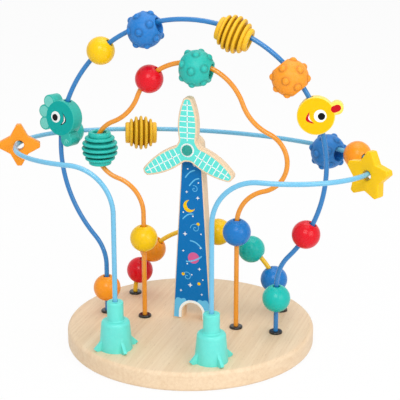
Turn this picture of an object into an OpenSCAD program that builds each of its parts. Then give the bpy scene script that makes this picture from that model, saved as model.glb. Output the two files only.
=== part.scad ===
// Bead maze: a round wooden board that carries four bent wires with sliding beads,
// and a tower with a propeller that spins.
// The origin is the centre of the board's underside, +X to the right, +Y to the back and +Z up.

/* [Board] */
// Diameter of the round board
board_d = 220; // [200:1:260]
// Thickness of the board
board_t = 17; // [15:0.5:24]
// Rounding of the board's two edges
board_edge_r = 3.5; // [1:0.5:6]

/* [Wire] */
// Diameter of every bent wire
wire_d = 4.2; // [3:0.1:4.6]
// Length of the weld between two bends
weld_len = 0.6; // [0.4:0.1:1]
// Depth of a wire's end in the board
wire_seat = 12; // [8:0.5:13]
// Diameter of the black collar round a wire's foot
grommet_d = 11.7; // [9:0.1:14]
// Height of that collar
grommet_h = 2; // [1:0.1:4]

/* [Arch wire] */
// Plane that the arch stands in
arch_y = -2; // [-4:0.5:0]
// Bend between the foot and the arch
arch_foot_r = 40; // [30:1:50]
// Angle of that bend
arch_foot_turn = 41.7; // [39:0.1:44]
// Radius of the arch
arch_r = 120; // [115:1:130]
// Height of the arch's top
arch_top = 289.5; // [285:0.5:310]

/* [Wave wire] */
// Plane that the wave stands in
wave_y = -2; // [-4:0.5:0]
// Outward bend above the foot
wave_foot_r = 32; // [24:1:40]
// Angle of that outward bend
wave_foot_turn = 74.3; // [72:0.1:77]
// Radius of the bulge at each side
bulge_r = 27; // [24:0.5:30]
// Bend between the bulge and the dome
waist_r = 42; // [36:1:48]
// Angle of that bend
waist_turn = 45.7; // [43:0.1:48]
// Radius of the dome
dome_r = 50; // [47:0.5:54]
// Angle from the dome's top to its side
dome_turn = 69.1; // [67:0.1:71]
// Height of the dome's top
dome_top = 253; // [248:0.5:262]

/* [Low wire] */
// Plane that the low hoop stands in
low_y = 49; // [42:0.5:56]
// Radius of the low hoop
low_r = 71; // [66:0.5:76]

/* [Loop wire] */
// Place of the two feet from front to back
loop_foot_y = -74.5; // [-80:0.5:-66]
// Height where the rising wire turns level
loop_top = 175.5; // [168:0.5:184]
// Bend where the rising wire turns outward
loop_rise_r = 39; // [30:1:46]
// Radius of the loop's two sides
loop_side_r = 76; // [70:1:82]
// Radius of the loop's wide back
loop_back_r = 208.4; // [196:0.4:220]
// Angle through which a side turns
loop_side_turn = 142; // [135:1:148]
// Slope of the loop, down to the back
loop_tilt = 3; // [0:0.5:5]

/* [Wire sockets] */
// Height of a socket's tapered body
socket_body_h = 25.5; // [18:0.5:28]
// Width of that body on the board
socket_foot_d = 28.5; // [25:0.5:32]
// Width of that body at its shoulder
socket_shoulder_d = 24; // [20:0.5:26]
// Width of the neck that holds the wire
socket_neck_d = 14; // [11:0.5:16]
// Height of the neck
socket_neck_h = 17; // [16:0.5:28]
// Bevel of the neck and the shoulder
socket_bevel = 1.2; // [0.4:0.1:2]
// Solid floor under the wire's end
socket_floor = 12; // [9:0.5:16]
// Height of a fin
fin_h = 9.5; // [8:0.5:16]
// Reach of a fin out of the body
fin_reach = 6; // [4:0.5:8]
// Thickness of a fin
fin_t = 3; // [2:0.1:4]

/* [Tower] */
// Front face of the tower
tower_y = 3.7; // [2:0.1:8]
// Thickness of the tower
tower_t = 13; // [10:0.5:18]
// Width of the tower on the board
tower_foot_w = 36; // [32:0.5:44]
// Width of the tower at the axle
tower_head_w = 17; // [14:0.5:20]
// Width of the arched doorway
door_w = 18; // [14:0.5:20]
// Height of the arched doorway
door_h = 15; // [12:0.5:22]

/* [Propeller] */
// Height of the propeller's axle
axle_z = 178; // [170:0.5:182]
// Diameter of the axle
axle_d = 5; // [4:0.1:6]
// Thickness of the propeller
prop_t = 9; // [7:0.5:11]
// Radius to a blade's tip
prop_r = 46; // [42:0.5:48]
// Width of a blade
blade_w = 17.4; // [13:0.1:19]
// Distance from the axle to a blade's widest place
blade_widest = 20; // [14:0.5:22]
// Radius of a blade's curved sides
blade_side_r = 62; // [56:1:120]
// Radius of a blade's round tip
blade_tip_r = 5.5; // [5:0.1:6]
// Diameter of the propeller's hub
hub_d = 21; // [18:0.5:26]
// Thickness of the washer behind the propeller
washer_t = 2.5; // [1.5:0.1:4]
// Diameter of the washer
washer_d = 12; // [9:0.5:15]

/* [Smooth beads] */
// Diameter of a smooth bead
bead_d = 24.5; // [22:0.5:25.5]
// Length of a smooth bead between its flats
bead_len = 23; // [20:0.5:24]
// Hole through a smooth bead
bead_hole_d = 6; // [5.6:0.1:7]

/* [Knobbly beads] */
// Diameter of a knobbly bead without its nubs
knob_d = 31; // [28:0.5:33]
// Length of a knobbly bead
knob_len = 29; // [26:0.5:30]
// Hole through a knobbly bead
knob_hole_d = 13; // [10:0.5:15]
// Diameter of a nub's ball
nub_d = 6.6; // [5:0.2:8]
// Height of a nub
nub_rise = 2; // [1:0.1:3]

/* [Ribbed beads] */
// Diameter of a ribbed bead
rib_d = 32; // [29:0.5:34]
// Length of a ribbed bead
rib_len = 29.5; // [27:0.5:31]
// Hole through a ribbed bead
rib_hole_d = 12; // [10:0.5:13]
// Number of ribs
rib_count = 5; // [4:1:6]
// Width of the collar at each end
collar_d = 20; // [17:0.5:22]
// Length of that collar
collar_len = 3.4; // [2.4:0.2:4]

/* [Flat animal beads] */
// Diameter of a flat bead's disc
flat_d = 31.5; // [28:0.5:33]
// Thickness of a flat bead
flat_t = 12.4; // [11:0.2:16]
// Hole along a flat bead
flat_hole_d = 6.6; // [6.2:0.1:7.2]
// Diameter of a lobe of the fish's fin
lobe_d = 12; // [10:0.5:14]
// Diameter of the fish's tail
tail_d = 12; // [9:0.5:13]
// Diameter of the chick's comb
comb_d = 11; // [9:0.5:13]
// Turn of the fish's face away from the arch's middle
fish_turn = 16; // [0:1:24]
// Turn of the chick's face away from the arch's middle
chick_turn = 12; // [0:1:24]

/* [Star beads] */
// Radius to the tips of the star with four points
star4_r = 18.5; // [17:0.5:22]
// Radius to the tips of the star with five points
star5_r = 20.5; // [18:0.5:22]
// Thickness of a star
star_t = 9; // [7:0.5:10]
// Hole through a star
star_hole_d = 8.6; // [8.4:0.1:10]
// Width of a star's blunt tips
star_tip_w = 4; // [1:0.2:5]
// Lean of a star on its wire
star_lean = 16; // [0:1:17]

/* [Places on the arch] */
// Wire between the top and the ribbed bead
arch_ribbed_gap = 26.5; // [16:0.5:30]
// Wire between the ribbed and the orange knobbly bead
arch_orange_knob_gap = 32; // [20:0.5:36]
// Wire between the orange knobbly bead and the chick
arch_chick_gap = 8; // [6:0.5:14]
// Wire between the chick and the red bead
arch_red_gap = 82; // [60:0.5:86]
// Wire between the top and the blue knobbly bead
arch_blue_knob_gap = 27; // [18:0.5:32]
// Wire between the blue knobbly and the yellow bead
arch_yellow_gap = 20.5; // [12:0.5:24]
// Wire between the yellow bead and the fish
arch_fish_gap = 45.5; // [34:0.5:47]
// Wire under the orange bead on the left leg
arch_orange_lift = 10; // [2:0.5:16]
// Wire under the green bead on the right leg
arch_green_lift = 19; // [2:0.5:20]

/* [Places on the wave] */
// Wire between the dome's top and the middle of the knobbly bead
wave_knob_shift = 7; // [0:0.5:10]
// Wire between the knobbly and the red bead
wave_red_gap = 22; // [16:0.5:23]
// Wire under the yellow bead on the left leg
wave_yellow_lift = 61.5; // [20:0.5:68]
// Wire under the blue bead on the right leg
wave_blue_lift = 76; // [20:0.5:76]

/* [Places on the low hoop] */
// Wire between the top and the middle of the yellow bead
low_yellow_shift = 10.8; // [6:0.2:14]
// Wire between the yellow and the green bead
low_green_gap = 12; // [4:0.5:14]
// Wire between the green and the blue bead
low_blue_gap = 12; // [4:0.5:14]
// Wire between the yellow and the orange bead
low_orange_gap = 48.5; // [30:0.5:50]
// Wire between the orange and the red bead
low_red_gap = 3.5; // [2:0.5:5]

/* [Places on the loop] */
// Wire between the rising bend and a star
loop_star_gap = 104; // [80:0.5:112]
// Wire between a star and the smooth bead behind it
loop_bead_gap = 55; // [30:0.5:56]
// Wire between the middle of the back and the ribbed bead
loop_ribbed_gap = 66; // [20:0.5:80]
// Wire between the knobbly bead and the end of the back
loop_knob_gap = 14.2; // [12:0.2:60]

/* [Hidden] */
$fn = 96;

// Colours
maple = [0.90, 0.80, 0.66];
sea_blue = [0.05, 0.36, 0.72];
amber = [0.96, 0.62, 0.10];
sun = [0.98, 0.78, 0.05];
sky = [0.42, 0.74, 0.92];
tomato = [0.86, 0.10, 0.16];
leaf = [0.15, 0.70, 0.60];
lagoon = [0.04, 0.66, 0.62];
mint = [0.43, 0.90, 0.84];
ink = [0.04, 0.04, 0.04];
steel = [0.70, 0.70, 0.72];

// Clearances and overruns
fit_gap = 0.05;
run_gap = 0.08;
bead_play = 0.35;
overrun = 2;
weld_lap = 0.3;
weld_rise = 0.03;

// Screws under the board
screw_d = 3.5;
screw_head_d = 7.5;
screw_head_h = 2.6;
screw_recess = 0.8;
screw_bite = 9;
socket_screw_x = 8;
screw_length = board_t - screw_recess - screw_head_h + screw_bite;

// Small sizes of the axle, the beads and the stars
axle_head_d = 9.4;
axle_head_t = 1.5;
axle_nut_d = 11;
axle_nut_t = 3.5;
axle_tail = 1;
mouth_share = 0.12;
nub_row_angle = 40;
nub_row_counts = [5, 6, 5];
rib_round_share = 0.42;
blade_count = 3;
fin_count = 4;
fin_tip_share = 0.35;
fin_foot_share = 0.3;
lobe_angles = [-34, 0, 34];
lobe_reach_share = 0.58;
tail_angle = -124;
tail_reach_share = 0.635;
comb_reach_share = 0.58;
star4_waist_share = 0.6;
star5_waist_share = 0.64;
star5_turn = 5;

// Arch wire
arch_centre_z = arch_top - arch_r;
arch_foot_x = weld_len / 2 + (arch_r + arch_foot_r) * cos(arch_foot_turn)
    - weld_len * sin(arch_foot_turn) - arch_foot_r;
arch_foot_z = arch_centre_z - (arch_r + arch_foot_r) * sin(arch_foot_turn)
    - weld_len * cos(arch_foot_turn);

// Wave wire, from the dome down to the foot
dome_z = dome_top - dome_r;
bulge_high = 90 + waist_turn - dome_turn;
bulge_turn = bulge_high + wave_foot_turn;
waist_at = [weld_len / 2, dome_z] + (dome_r + waist_r) * heading(90 - dome_turn)
    + weld_len * heading(-dome_turn);
bulge_at = waist_at - (waist_r + bulge_r) * heading(bulge_high) + weld_len * heading(bulge_high - 90);
wave_bend_at = bulge_at + (bulge_r + wave_foot_r) * heading(-wave_foot_turn)
    + weld_len * heading(-90 - wave_foot_turn);
wave_foot_x = wave_bend_at[0] - wave_foot_r;

// Low wire
low_foot_x = weld_len / 2 + low_r;

// Loop wire, in its own sloping plane, measured back from the feet
loop_side_x = weld_len / 2 + (loop_back_r - loop_side_r) * sin(loop_side_turn)
    - weld_len * cos(loop_side_turn);
loop_foot_x = loop_side_x - weld_len - loop_rise_r;
loop_back_y = loop_side_r + (loop_back_r - loop_side_r) * cos(loop_side_turn)
    + weld_len * sin(loop_side_turn);

// How far a loose bead hangs off the middle of its wire
knob_hang = (knob_hole_d - wire_d) / 2 - bead_play;
rib_hang = (rib_hole_d - wire_d) / 2 - bead_play;
star_hang = (star_hole_d - wire_d) / 2 - 2 * bead_play;

// Places of the beads, as angles on their arcs
arch_ribbed_at = 90 - turn(arch_ribbed_gap + rib_len / 2, arch_r);
arch_orange_knob_at = arch_ribbed_at - turn(rib_len / 2 + arch_orange_knob_gap + knob_len / 2, arch_r);
arch_chick_at = arch_orange_knob_at - turn(knob_len / 2 + arch_chick_gap + flat_d / 2, arch_r);
arch_red_at = arch_chick_at - turn(flat_d / 2 + arch_red_gap + bead_len / 2, arch_r);
arch_blue_knob_at = 90 + turn(arch_blue_knob_gap + knob_len / 2, arch_r);
arch_yellow_at = arch_blue_knob_at + turn(knob_len / 2 + arch_yellow_gap + bead_len / 2, arch_r);
arch_fish_at = arch_yellow_at + turn(bead_len / 2 + arch_fish_gap + flat_d / 2, arch_r);
wave_knob_at = 90 - turn(wave_knob_shift, dome_r);
wave_red_at = wave_knob_at + turn(knob_len / 2 + wave_red_gap + bead_len / 2, dome_r);
wave_ribbed_at = 180;
low_yellow_at = 90 - turn(low_yellow_shift, low_r);
low_green_at = low_yellow_at - turn(bead_len + low_green_gap, low_r);
low_blue_at = low_green_at - turn(bead_len + low_blue_gap, low_r);
low_orange_at = low_yellow_at + turn(bead_len + low_orange_gap, low_r);
low_red_at = low_orange_at + turn(bead_len + low_red_gap, low_r);
loop_star_at = turn(loop_star_gap + star_t / 2, loop_side_r);
loop_bead_at = loop_star_at + turn(star_t / 2 + loop_bead_gap + bead_len / 2, loop_side_r);
loop_ribbed_at = turn(loop_ribbed_gap + rib_len / 2, loop_back_r);
loop_knob_at = 180 - loop_side_turn - turn(loop_knob_gap + knob_len / 2, loop_back_r);

// Depths from front to back along the axle
prop_back_y = tower_y - washer_t - 2 * run_gap;
prop_front_y = prop_back_y - prop_t;
tower_back_y = tower_y + tower_t;
tower_mid_y = tower_y + tower_t / 2;
tower_leg_x = (tower_foot_w + door_w) / 4;

// Step of one along an angle in a plane
function heading(angle) = [cos(angle), sin(angle)];

// Angle that a length of wire takes up on an arc
function turn(length, r) = length / r * 180 / PI;

// Half of the height by which an arc bows over a straight bore
function bow(length, r) = pow(length, 2) / (16 * r);

// The same shape on the right and on the left
module both_sides() {
    children();
    mirror([1, 0, 0]) children();
}

// Turns a drawing into an upright plane that faces the front
module upright(y) {
    translate([0, y, 0]) rotate([90, 0, 0]) children();
}

// A bend to the right, and the rest of the wire after it
module bend_right(r, angle) {
    mirror([0, 1, 0]) translate([0, r, 0]) rotate([0, 0, -90])
        rotate_extrude(angle = angle) translate([r, 0]) circle(d = wire_d);
    translate([0, -r, 0]) rotate([0, 0, -angle]) translate([0, r, 0]) children();
}

// A bend to the left, and the rest of the wire after it
module bend_left(r, angle) {
    translate([0, r, 0]) rotate([0, 0, -90])
        rotate_extrude(angle = angle) translate([r, 0]) circle(d = wire_d);
    translate([0, r, 0]) rotate([0, 0, angle]) translate([0, -r, 0]) children();
}

// A weld that laps onto the wire at both of its ends
module weld() {
    rotate([0, 90, 0]) cylinder(d = wire_d + 2 * weld_rise, h = weld_len + 2 * weld_lap, center = true);
}

// A weld after a bend, and the rest of the wire after it
module joined() {
    translate([weld_len / 2, 0, 0]) weld();
    translate([weld_len, 0, 0]) children();
}

// A wire that starts with a weld at its middle and runs the same way to both sides
module from_middle() {
    weld();
    both_sides() translate([weld_len / 2, 0, 0]) children();
}

// A straight length of wire
module straight(length) {
    rotate([0, 90, 0]) cylinder(d = wire_d, h = length);
}

// The loop's own sloping plane, whose origin lies between the two bends
module loop_plane() {
    translate([0, loop_foot_y, loop_top]) rotate([-loop_tilt, 0, 0]) children();
}

// Places a bead on an upright arc, with its bore along the wire
module on_arc(x, y, z, r, at) {
    translate([x, y, z]) rotate([0, 90 - at, 0]) translate([0, 0, r]) children();
}

// Places a bead on the arch
module on_arch(at, inset) {
    on_arc(0, arch_y, arch_centre_z, arch_r - inset, at) children();
}

// Places a bead on the wave's dome
module on_dome(at, inset) {
    on_arc(0, wave_y, dome_z, dome_r - inset, at) children();
}

// Places a smooth bead on the low hoop
module on_low(at) {
    on_arc(0, low_y, board_t, low_r - bow(bead_len, low_r), at) smooth_bead();
}

// Places a smooth bead on an upright leg, above its collar
module on_leg(x, y, lift) {
    translate([x, y, board_t + grommet_h + lift + bead_len / 2]) rotate([0, 90, 0]) smooth_bead();
}

// Places a bead on the right side of the loop
module on_loop_side(at, inset, drop) {
    loop_plane() translate([loop_side_x, loop_side_r, -drop]) rotate([0, 0, at])
        translate([0, inset - loop_side_r, 0]) children();
}

// Places a bead on the back of the loop, to the right of its middle
module on_loop_back(at, drop) {
    loop_plane() translate([0, loop_back_y, -drop]) rotate([0, 0, -at])
        translate([0, loop_back_r, 0]) children();
}

// A bore along X with flared mouths
module bore_x(d, length) {
    mouth = d * mouth_share;
    rotate([0, 90, 0]) {
        cylinder(d = d, h = length + 2 * overrun, center = true);
        for (side = [-1, 1]) {
            translate([0, 0, side * (length / 2 - mouth / 2)])
                cylinder(
                    d1 = d + (1 - side) * mouth,
                    d2 = d + (1 + side) * mouth,
                    h = mouth,
                    center = true
                );
        }
    }
}

// A ball with flats and flared mouths at the ends of its bore
module bored_ball(d, length, hole_d) {
    hole_r = hole_d / 2;
    mouth = hole_d * mouth_share;
    end = length / 2;
    rotate([0, 90, 0]) rotate_extrude() intersection() {
        circle(d = d);
        polygon([
            [hole_r, mouth - end],
            [hole_r + mouth, -end],
            [d, -end],
            [d, end],
            [hole_r + mouth, end],
            [hole_r, end - mouth]
        ]);
    }
}

module smooth_bead() {
    bored_ball(bead_d, bead_len, bead_hole_d);
}

// A ball with rows of round nubs
module knobbly_bead() {
    bored_ball(knob_d, knob_len, knob_hole_d);
    for (row = [0 : len(nub_row_counts) - 1]) {
        for (i = [0 : nub_row_counts[row] - 1]) {
            rotate([360 * (i + row / 2) / nub_row_counts[row], 0, 0])
                rotate([0, nub_row_angle * (row - 1), 0])
                    translate([0, 0, (knob_d - nub_d) / 2 + nub_rise]) rotate([90, 0, 0]) sphere(d = nub_d);
        }
    }
}

// A barrel of round ribs with a collar at each end
module ribbed_bead() {
    pitch = (rib_len - 2 * collar_len) / rib_count;
    round_r = pitch * rib_round_share;
    hole_r = rib_hole_d / 2;
    rotate([0, 90, 0]) rotate_extrude() {
        for (i = [0 : rib_count - 1]) {
            at = (i - (rib_count - 1) / 2) * pitch;
            reach = sqrt(pow(rib_d / 2, 2) - pow(at, 2));
            translate([hole_r, at - pitch / 2]) square([reach - round_r - hole_r, pitch]);
            translate([reach - round_r, at]) circle(r = round_r);
        }
        for (side = [-1, 1]) {
            translate([hole_r, side * (rib_len - collar_len) / 2 - collar_len / 2])
                square([collar_d / 2 - hole_r, collar_len]);
        }
    }
}

// A round slice of wood that faces the front
module flat_disc(d) {
    rotate([90, 0, 0]) cylinder(d = d, h = flat_t, center = true);
}

// A flat fish with a scalloped fin on its outer side and a round tail
module fish_bead() {
    difference() {
        rotate([90, 0, 0]) linear_extrude(flat_t, center = true) union() {
            circle(d = flat_d);
            for (angle = lobe_angles) {
                rotate([0, 0, -angle]) translate([0, flat_d * lobe_reach_share]) circle(d = lobe_d);
            }
            rotate([0, 0, -tail_angle]) translate([0, flat_d * tail_reach_share]) circle(d = tail_d);
        }
        bore_x(flat_hole_d, flat_d);
    }
}

// A flat chick with a round comb on its outer side
module chick_bead() {
    difference() {
        union() {
            flat_disc(flat_d);
            translate([0, 0, flat_d * comb_reach_share]) flat_disc(comb_d);
        }
        bore_x(flat_hole_d, flat_d);
    }
}

// A star with blunt tips, upright across its bore
module star_bead(points, tip_r, waist_share) {
    waist_r = tip_r * waist_share;
    step = 360 / points;
    tip_half = star_tip_w / 2;
    outline = [
        for (i = [0 : points - 1])
            for (corner = [
                tip_r * heading(i * step) + tip_half * heading(i * step - 90),
                tip_r * heading(i * step) + tip_half * heading(i * step + 90),
                waist_r * heading(i * step + step / 2)
            ])
                corner
    ];
    difference() {
        rotate([0, -90, 0]) linear_extrude(star_t, center = true) polygon(outline);
        bore_x(star_hole_d, star_t);
    }
}

// A screw that points up, with its head at the bottom
module screw(length) {
    cylinder(d = screw_head_d, h = screw_head_h);
    translate([0, 0, screw_head_h]) cylinder(d = screw_d, h = length);
}

// Room for a screw, with a wide mouth for its head
module screw_hole(length) {
    translate([0, 0, -screw_recess - overrun])
        cylinder(d = screw_head_d + 2 * screw_recess, h = screw_recess + overrun + screw_head_h);
    cylinder(d = screw_d + 2 * fit_gap, h = screw_head_h + length + screw_recess);
}

// Places of the tower's two screws
module at_tower_screws() {
    both_sides() translate([tower_leg_x, tower_mid_y, screw_recess]) children();
}

// Places of a socket's two screws
module at_socket_screws(x) {
    for (side = [-1, 1]) {
        translate([x + side * socket_screw_x, loop_foot_y, screw_recess]) children();
    }
}

// Places of the six wire feet in the board
module at_wire_feet() {
    both_sides() {
        translate([arch_foot_x, arch_y, 0]) children();
        translate([wave_foot_x, wave_y, 0]) children();
        translate([low_foot_x, low_y, 0]) children();
    }
}

// Round board with rounded edges, holes for the wires and screws
module base_board() {
    r = board_d / 2;
    color(maple) difference() {
        rotate_extrude() {
            square([r - board_edge_r, board_t]);
            translate([0, board_edge_r]) square([r, board_t - 2 * board_edge_r]);
            for (z = [board_edge_r, board_t - board_edge_r]) {
                translate([r - board_edge_r, z]) circle(r = board_edge_r);
            }
        }
        at_wire_feet() translate([0, 0, board_t - wire_seat])
            cylinder(d = wire_d + 2 * fit_gap, h = wire_seat + overrun);
        at_tower_screws() screw_hole(screw_length);
        for (side = [-1, 1]) {
            at_socket_screws(side * loop_foot_x) screw_hole(screw_length);
        }
    }
}

// Tapered tower with a round head and an arched doorway
module tower_panel() {
    head_r = tower_head_w / 2;
    color(maple) difference() {
        translate([0, tower_back_y, 0]) rotate([90, 0, 0]) linear_extrude(tower_t) difference() {
            union() {
                polygon([
                    [-tower_foot_w / 2, board_t],
                    [tower_foot_w / 2, board_t],
                    [head_r, axle_z],
                    [-head_r, axle_z]
                ]);
                translate([0, axle_z]) circle(r = head_r);
            }
            translate([0, board_t + door_h - door_w / 2]) circle(d = door_w);
            translate([-door_w / 2, board_t - overrun]) square([door_w, overrun + door_h - door_w / 2]);
        }
        translate([0, tower_back_y + overrun, axle_z]) rotate([90, 0, 0])
            cylinder(d = axle_d + 2 * fit_gap, h = tower_t + 2 * overrun);
        at_tower_screws() screw_hole(screw_length);
    }
}

module tower_screws() {
    color(steel) at_tower_screws() screw(screw_length);
}

// Outline of one blade that points up
module blade() {
    tip_at = prop_r - blade_tip_r;
    intersection() {
        translate([blade_side_r - blade_w / 2, blade_widest]) circle(r = blade_side_r);
        translate([blade_w / 2 - blade_side_r, blade_widest]) circle(r = blade_side_r);
        union() {
            translate([-blade_w / 2, 0]) square([blade_w, tip_at]);
            translate([0, tip_at]) circle(r = blade_tip_r);
        }
    }
}

// Propeller with three blades
module propeller() {
    color(mint) translate([0, prop_back_y, axle_z]) rotate([90, 0, 0]) linear_extrude(prop_t) difference() {
        union() {
            circle(d = hub_d);
            for (i = [0 : blade_count - 1]) {
                rotate([0, 0, 360 / blade_count * i]) blade();
            }
        }
        circle(d = axle_d + 2 * run_gap);
    }
}

module propeller_washer() {
    color(maple) translate([0, tower_y, axle_z]) rotate([90, 0, 0]) difference() {
        cylinder(d = washer_d, h = washer_t);
        translate([0, 0, -overrun]) cylinder(d = axle_d + 2 * fit_gap, h = washer_t + 2 * overrun);
    }
}

// Pin with a flat head in front of the propeller
module propeller_axle() {
    head_y = prop_front_y - run_gap;
    color(lagoon) translate([0, head_y, axle_z]) rotate([90, 0, 0]) {
        cylinder(d = axle_head_d, h = axle_head_t);
        mirror([0, 0, 1]) cylinder(d = axle_d, h = tower_back_y + axle_nut_t + axle_tail - head_y);
    }
}

// Push-on nut that holds the axle at the back of the tower
module axle_nut() {
    color(steel) translate([0, tower_back_y, axle_z]) rotate([-90, 0, 0]) difference() {
        cylinder(d = axle_nut_d, h = axle_nut_t);
        translate([0, 0, -overrun]) cylinder(d = axle_d + 2 * fit_gap, h = axle_nut_t + 2 * overrun);
    }
}

// Tall round arch on two feet, bent from its top down
module arch_wire() {
    color(sea_blue) upright(arch_y) translate([0, arch_top]) from_middle()
        bend_right(arch_r, 90 + arch_foot_turn) joined()
        bend_left(arch_foot_r, arch_foot_turn) joined()
        straight(arch_foot_z - weld_len - board_t + wire_seat);
}

// Wave with a dome, a waist, two bulges and two feet
module wave_wire() {
    color(amber) upright(wave_y) translate([0, dome_top]) from_middle()
        bend_right(dome_r, dome_turn) joined()
        bend_left(waist_r, waist_turn) joined()
        bend_right(bulge_r, bulge_turn) joined()
        bend_left(wave_foot_r, wave_foot_turn) joined()
        straight(wave_bend_at[1] - weld_len - board_t + wire_seat);
}

// Low half hoop behind the tower
module low_wire() {
    color(sun) upright(low_y) translate([0, board_t + low_r]) from_middle()
        bend_right(low_r, 90) joined()
        straight(wire_seat - weld_len);
}

// Wide loop that runs round the back and comes down into the two sockets
module loop_wire() {
    color(sky) loop_plane() translate([0, loop_back_y + loop_back_r]) from_middle()
        bend_right(loop_back_r, 180 - loop_side_turn) joined()
        bend_right(loop_side_r, loop_side_turn) joined()
        rotate([90 - loop_tilt, 0, 0])
        bend_right(loop_rise_r, 90) joined()
        straight(loop_top - loop_rise_r - weld_len - board_t - socket_floor);
}

module wire_grommets() {
    color(ink) at_wire_feet() translate([0, 0, board_t]) difference() {
        cylinder(d = grommet_d, h = grommet_h);
        translate([0, 0, -overrun]) cylinder(d = wire_d + 2 * fit_gap, h = grommet_h + 2 * overrun);
    }
}

// Side outline of a fin, from inside the body out to its swept tip
module fin_outline() {
    foot_r = socket_foot_d / 2;
    polygon([
        [socket_neck_d / 2, 0],
        [foot_r + fin_reach * fin_foot_share, 0],
        [foot_r + fin_reach, fin_h * fin_tip_share],
        [(foot_r + socket_shoulder_d / 2) / 2, fin_h],
        [socket_neck_d / 2, fin_h]
    ]);
}

// Moulded socket with four fins that holds a foot of the loop
module wire_socket(x) {
    shoulder_r = socket_shoulder_d / 2;
    neck_r = socket_neck_d / 2;
    top = socket_body_h + socket_neck_h;
    color(mint) difference() {
        translate([x, loop_foot_y, board_t]) {
            rotate_extrude() polygon([
                [0, 0],
                [socket_foot_d / 2, 0],
                [shoulder_r, socket_body_h - socket_bevel],
                [shoulder_r - socket_bevel, socket_body_h],
                [neck_r, socket_body_h],
                [neck_r, top - socket_bevel],
                [neck_r - socket_bevel, top],
                [0, top]
            ]);
            for (i = [0 : fin_count - 1]) {
                rotate([0, 0, 360 / fin_count * (i + 1 / 2)]) translate([0, fin_t / 2, 0]) rotate([90, 0, 0])
                    linear_extrude(fin_t) fin_outline();
            }
        }
        translate([x, loop_foot_y, board_t + socket_floor])
            cylinder(d = wire_d + 2 * fit_gap, h = top);
        at_socket_screws(x) screw_hole(screw_length);
    }
}

module socket_left() {
    wire_socket(-loop_foot_x);
}

module socket_right() {
    wire_socket(loop_foot_x);
}

module socket_screws() {
    color(steel) for (side = [-1, 1]) {
        at_socket_screws(side * loop_foot_x) screw(screw_length);
    }
}

// Beads on the arch
module arch_orange_bead() {
    color(amber) on_leg(-arch_foot_x, arch_y, arch_orange_lift);
}

module arch_fish_bead() {
    color(lagoon) on_arch(arch_fish_at, bow(flat_d, arch_r)) rotate([-fish_turn, 0, 0]) fish_bead();
}

module arch_yellow_bead() {
    color(sun) on_arch(arch_yellow_at, bow(bead_len, arch_r)) smooth_bead();
}

module arch_blue_knobbly_bead() {
    color(sea_blue) on_arch(arch_blue_knob_at, knob_hang) knobbly_bead();
}

module arch_yellow_ribbed_bead() {
    color(sun) on_arch(arch_ribbed_at, rib_hang) ribbed_bead();
}

module arch_orange_knobbly_bead() {
    color(amber) on_arch(arch_orange_knob_at, knob_hang) knobbly_bead();
}

module arch_chick_bead() {
    color(sun) on_arch(arch_chick_at, bow(flat_d, arch_r)) rotate([-chick_turn, 0, 0]) chick_bead();
}

module arch_red_bead() {
    color(tomato) on_arch(arch_red_at, bow(bead_len, arch_r)) smooth_bead();
}

module arch_green_bead() {
    color(leaf) on_leg(arch_foot_x, arch_y, arch_green_lift);
}

// Beads on the wave
module wave_yellow_bead() {
    color(sun) on_leg(-wave_foot_x, wave_y, wave_yellow_lift);
}

module wave_teal_ribbed_bead() {
    color(lagoon) on_arc(-bulge_at[0], wave_y, bulge_at[1], bulge_r - rib_hang, wave_ribbed_at) ribbed_bead();
}

module wave_red_bead() {
    color(tomato) on_dome(wave_red_at, bow(bead_len, dome_r)) smooth_bead();
}

module wave_teal_knobbly_bead() {
    color(lagoon) on_dome(wave_knob_at, knob_hang) knobbly_bead();
}

module wave_blue_bead() {
    color(sea_blue) on_leg(wave_foot_x, wave_y, wave_blue_lift);
}

// Beads on the low hoop
module low_red_bead() {
    color(tomato) on_low(low_red_at);
}

module low_orange_bead() {
    color(amber) on_low(low_orange_at);
}

module low_yellow_bead() {
    color(sun) on_low(low_yellow_at);
}

module low_green_bead() {
    color(leaf) on_low(low_green_at);
}

module low_blue_bead() {
    color(sea_blue) on_low(low_blue_at);
}

// Beads on the loop
module loop_orange_star() {
    color(amber) mirror([1, 0, 0]) on_loop_side(loop_star_at, 0, star_hang)
        rotate([0, 0, -star_lean]) star_bead(4, star4_r, star4_waist_share);
}

module loop_green_bead() {
    color(leaf) mirror([1, 0, 0]) on_loop_side(loop_bead_at, bow(bead_len, loop_side_r), 0) smooth_bead();
}

module loop_yellow_ribbed_bead() {
    color(sun) mirror([1, 0, 0]) on_loop_back(loop_ribbed_at, rib_hang) ribbed_bead();
}

module loop_blue_knobbly_bead() {
    color(sea_blue) on_loop_back(loop_knob_at, knob_hang) knobbly_bead();
}

module loop_orange_bead() {
    color(amber) on_loop_side(loop_bead_at, bow(bead_len, loop_side_r), 0) smooth_bead();
}

module loop_yellow_star() {
    color(sun) on_loop_side(loop_star_at, 0, star_hang)
        rotate([0, 0, -star_lean]) rotate([star5_turn, 0, 0]) star_bead(5, star5_r, star5_waist_share);
}

base_board();
tower_panel();
tower_screws();
propeller();
propeller_washer();
propeller_axle();
axle_nut();
arch_wire();
wave_wire();
low_wire();
loop_wire();
wire_grommets();
socket_left();
socket_right();
socket_screws();
arch_orange_bead();
arch_fish_bead();
arch_yellow_bead();
arch_blue_knobbly_bead();
arch_yellow_ribbed_bead();
arch_orange_knobbly_bead();
arch_chick_bead();
arch_red_bead();
arch_green_bead();
wave_yellow_bead();
wave_teal_ribbed_bead();
wave_red_bead();
wave_teal_knobbly_bead();
wave_blue_bead();
low_red_bead();
low_orange_bead();
low_yellow_bead();
low_green_bead();
low_blue_bead();
loop_orange_star();
loop_green_bead();
loop_yellow_ribbed_bead();
loop_blue_knobbly_bead();
loop_orange_bead();
loop_yellow_star();
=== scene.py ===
"""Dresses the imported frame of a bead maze: board, tower, propeller, wires, sockets and beads."""

import math

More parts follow.
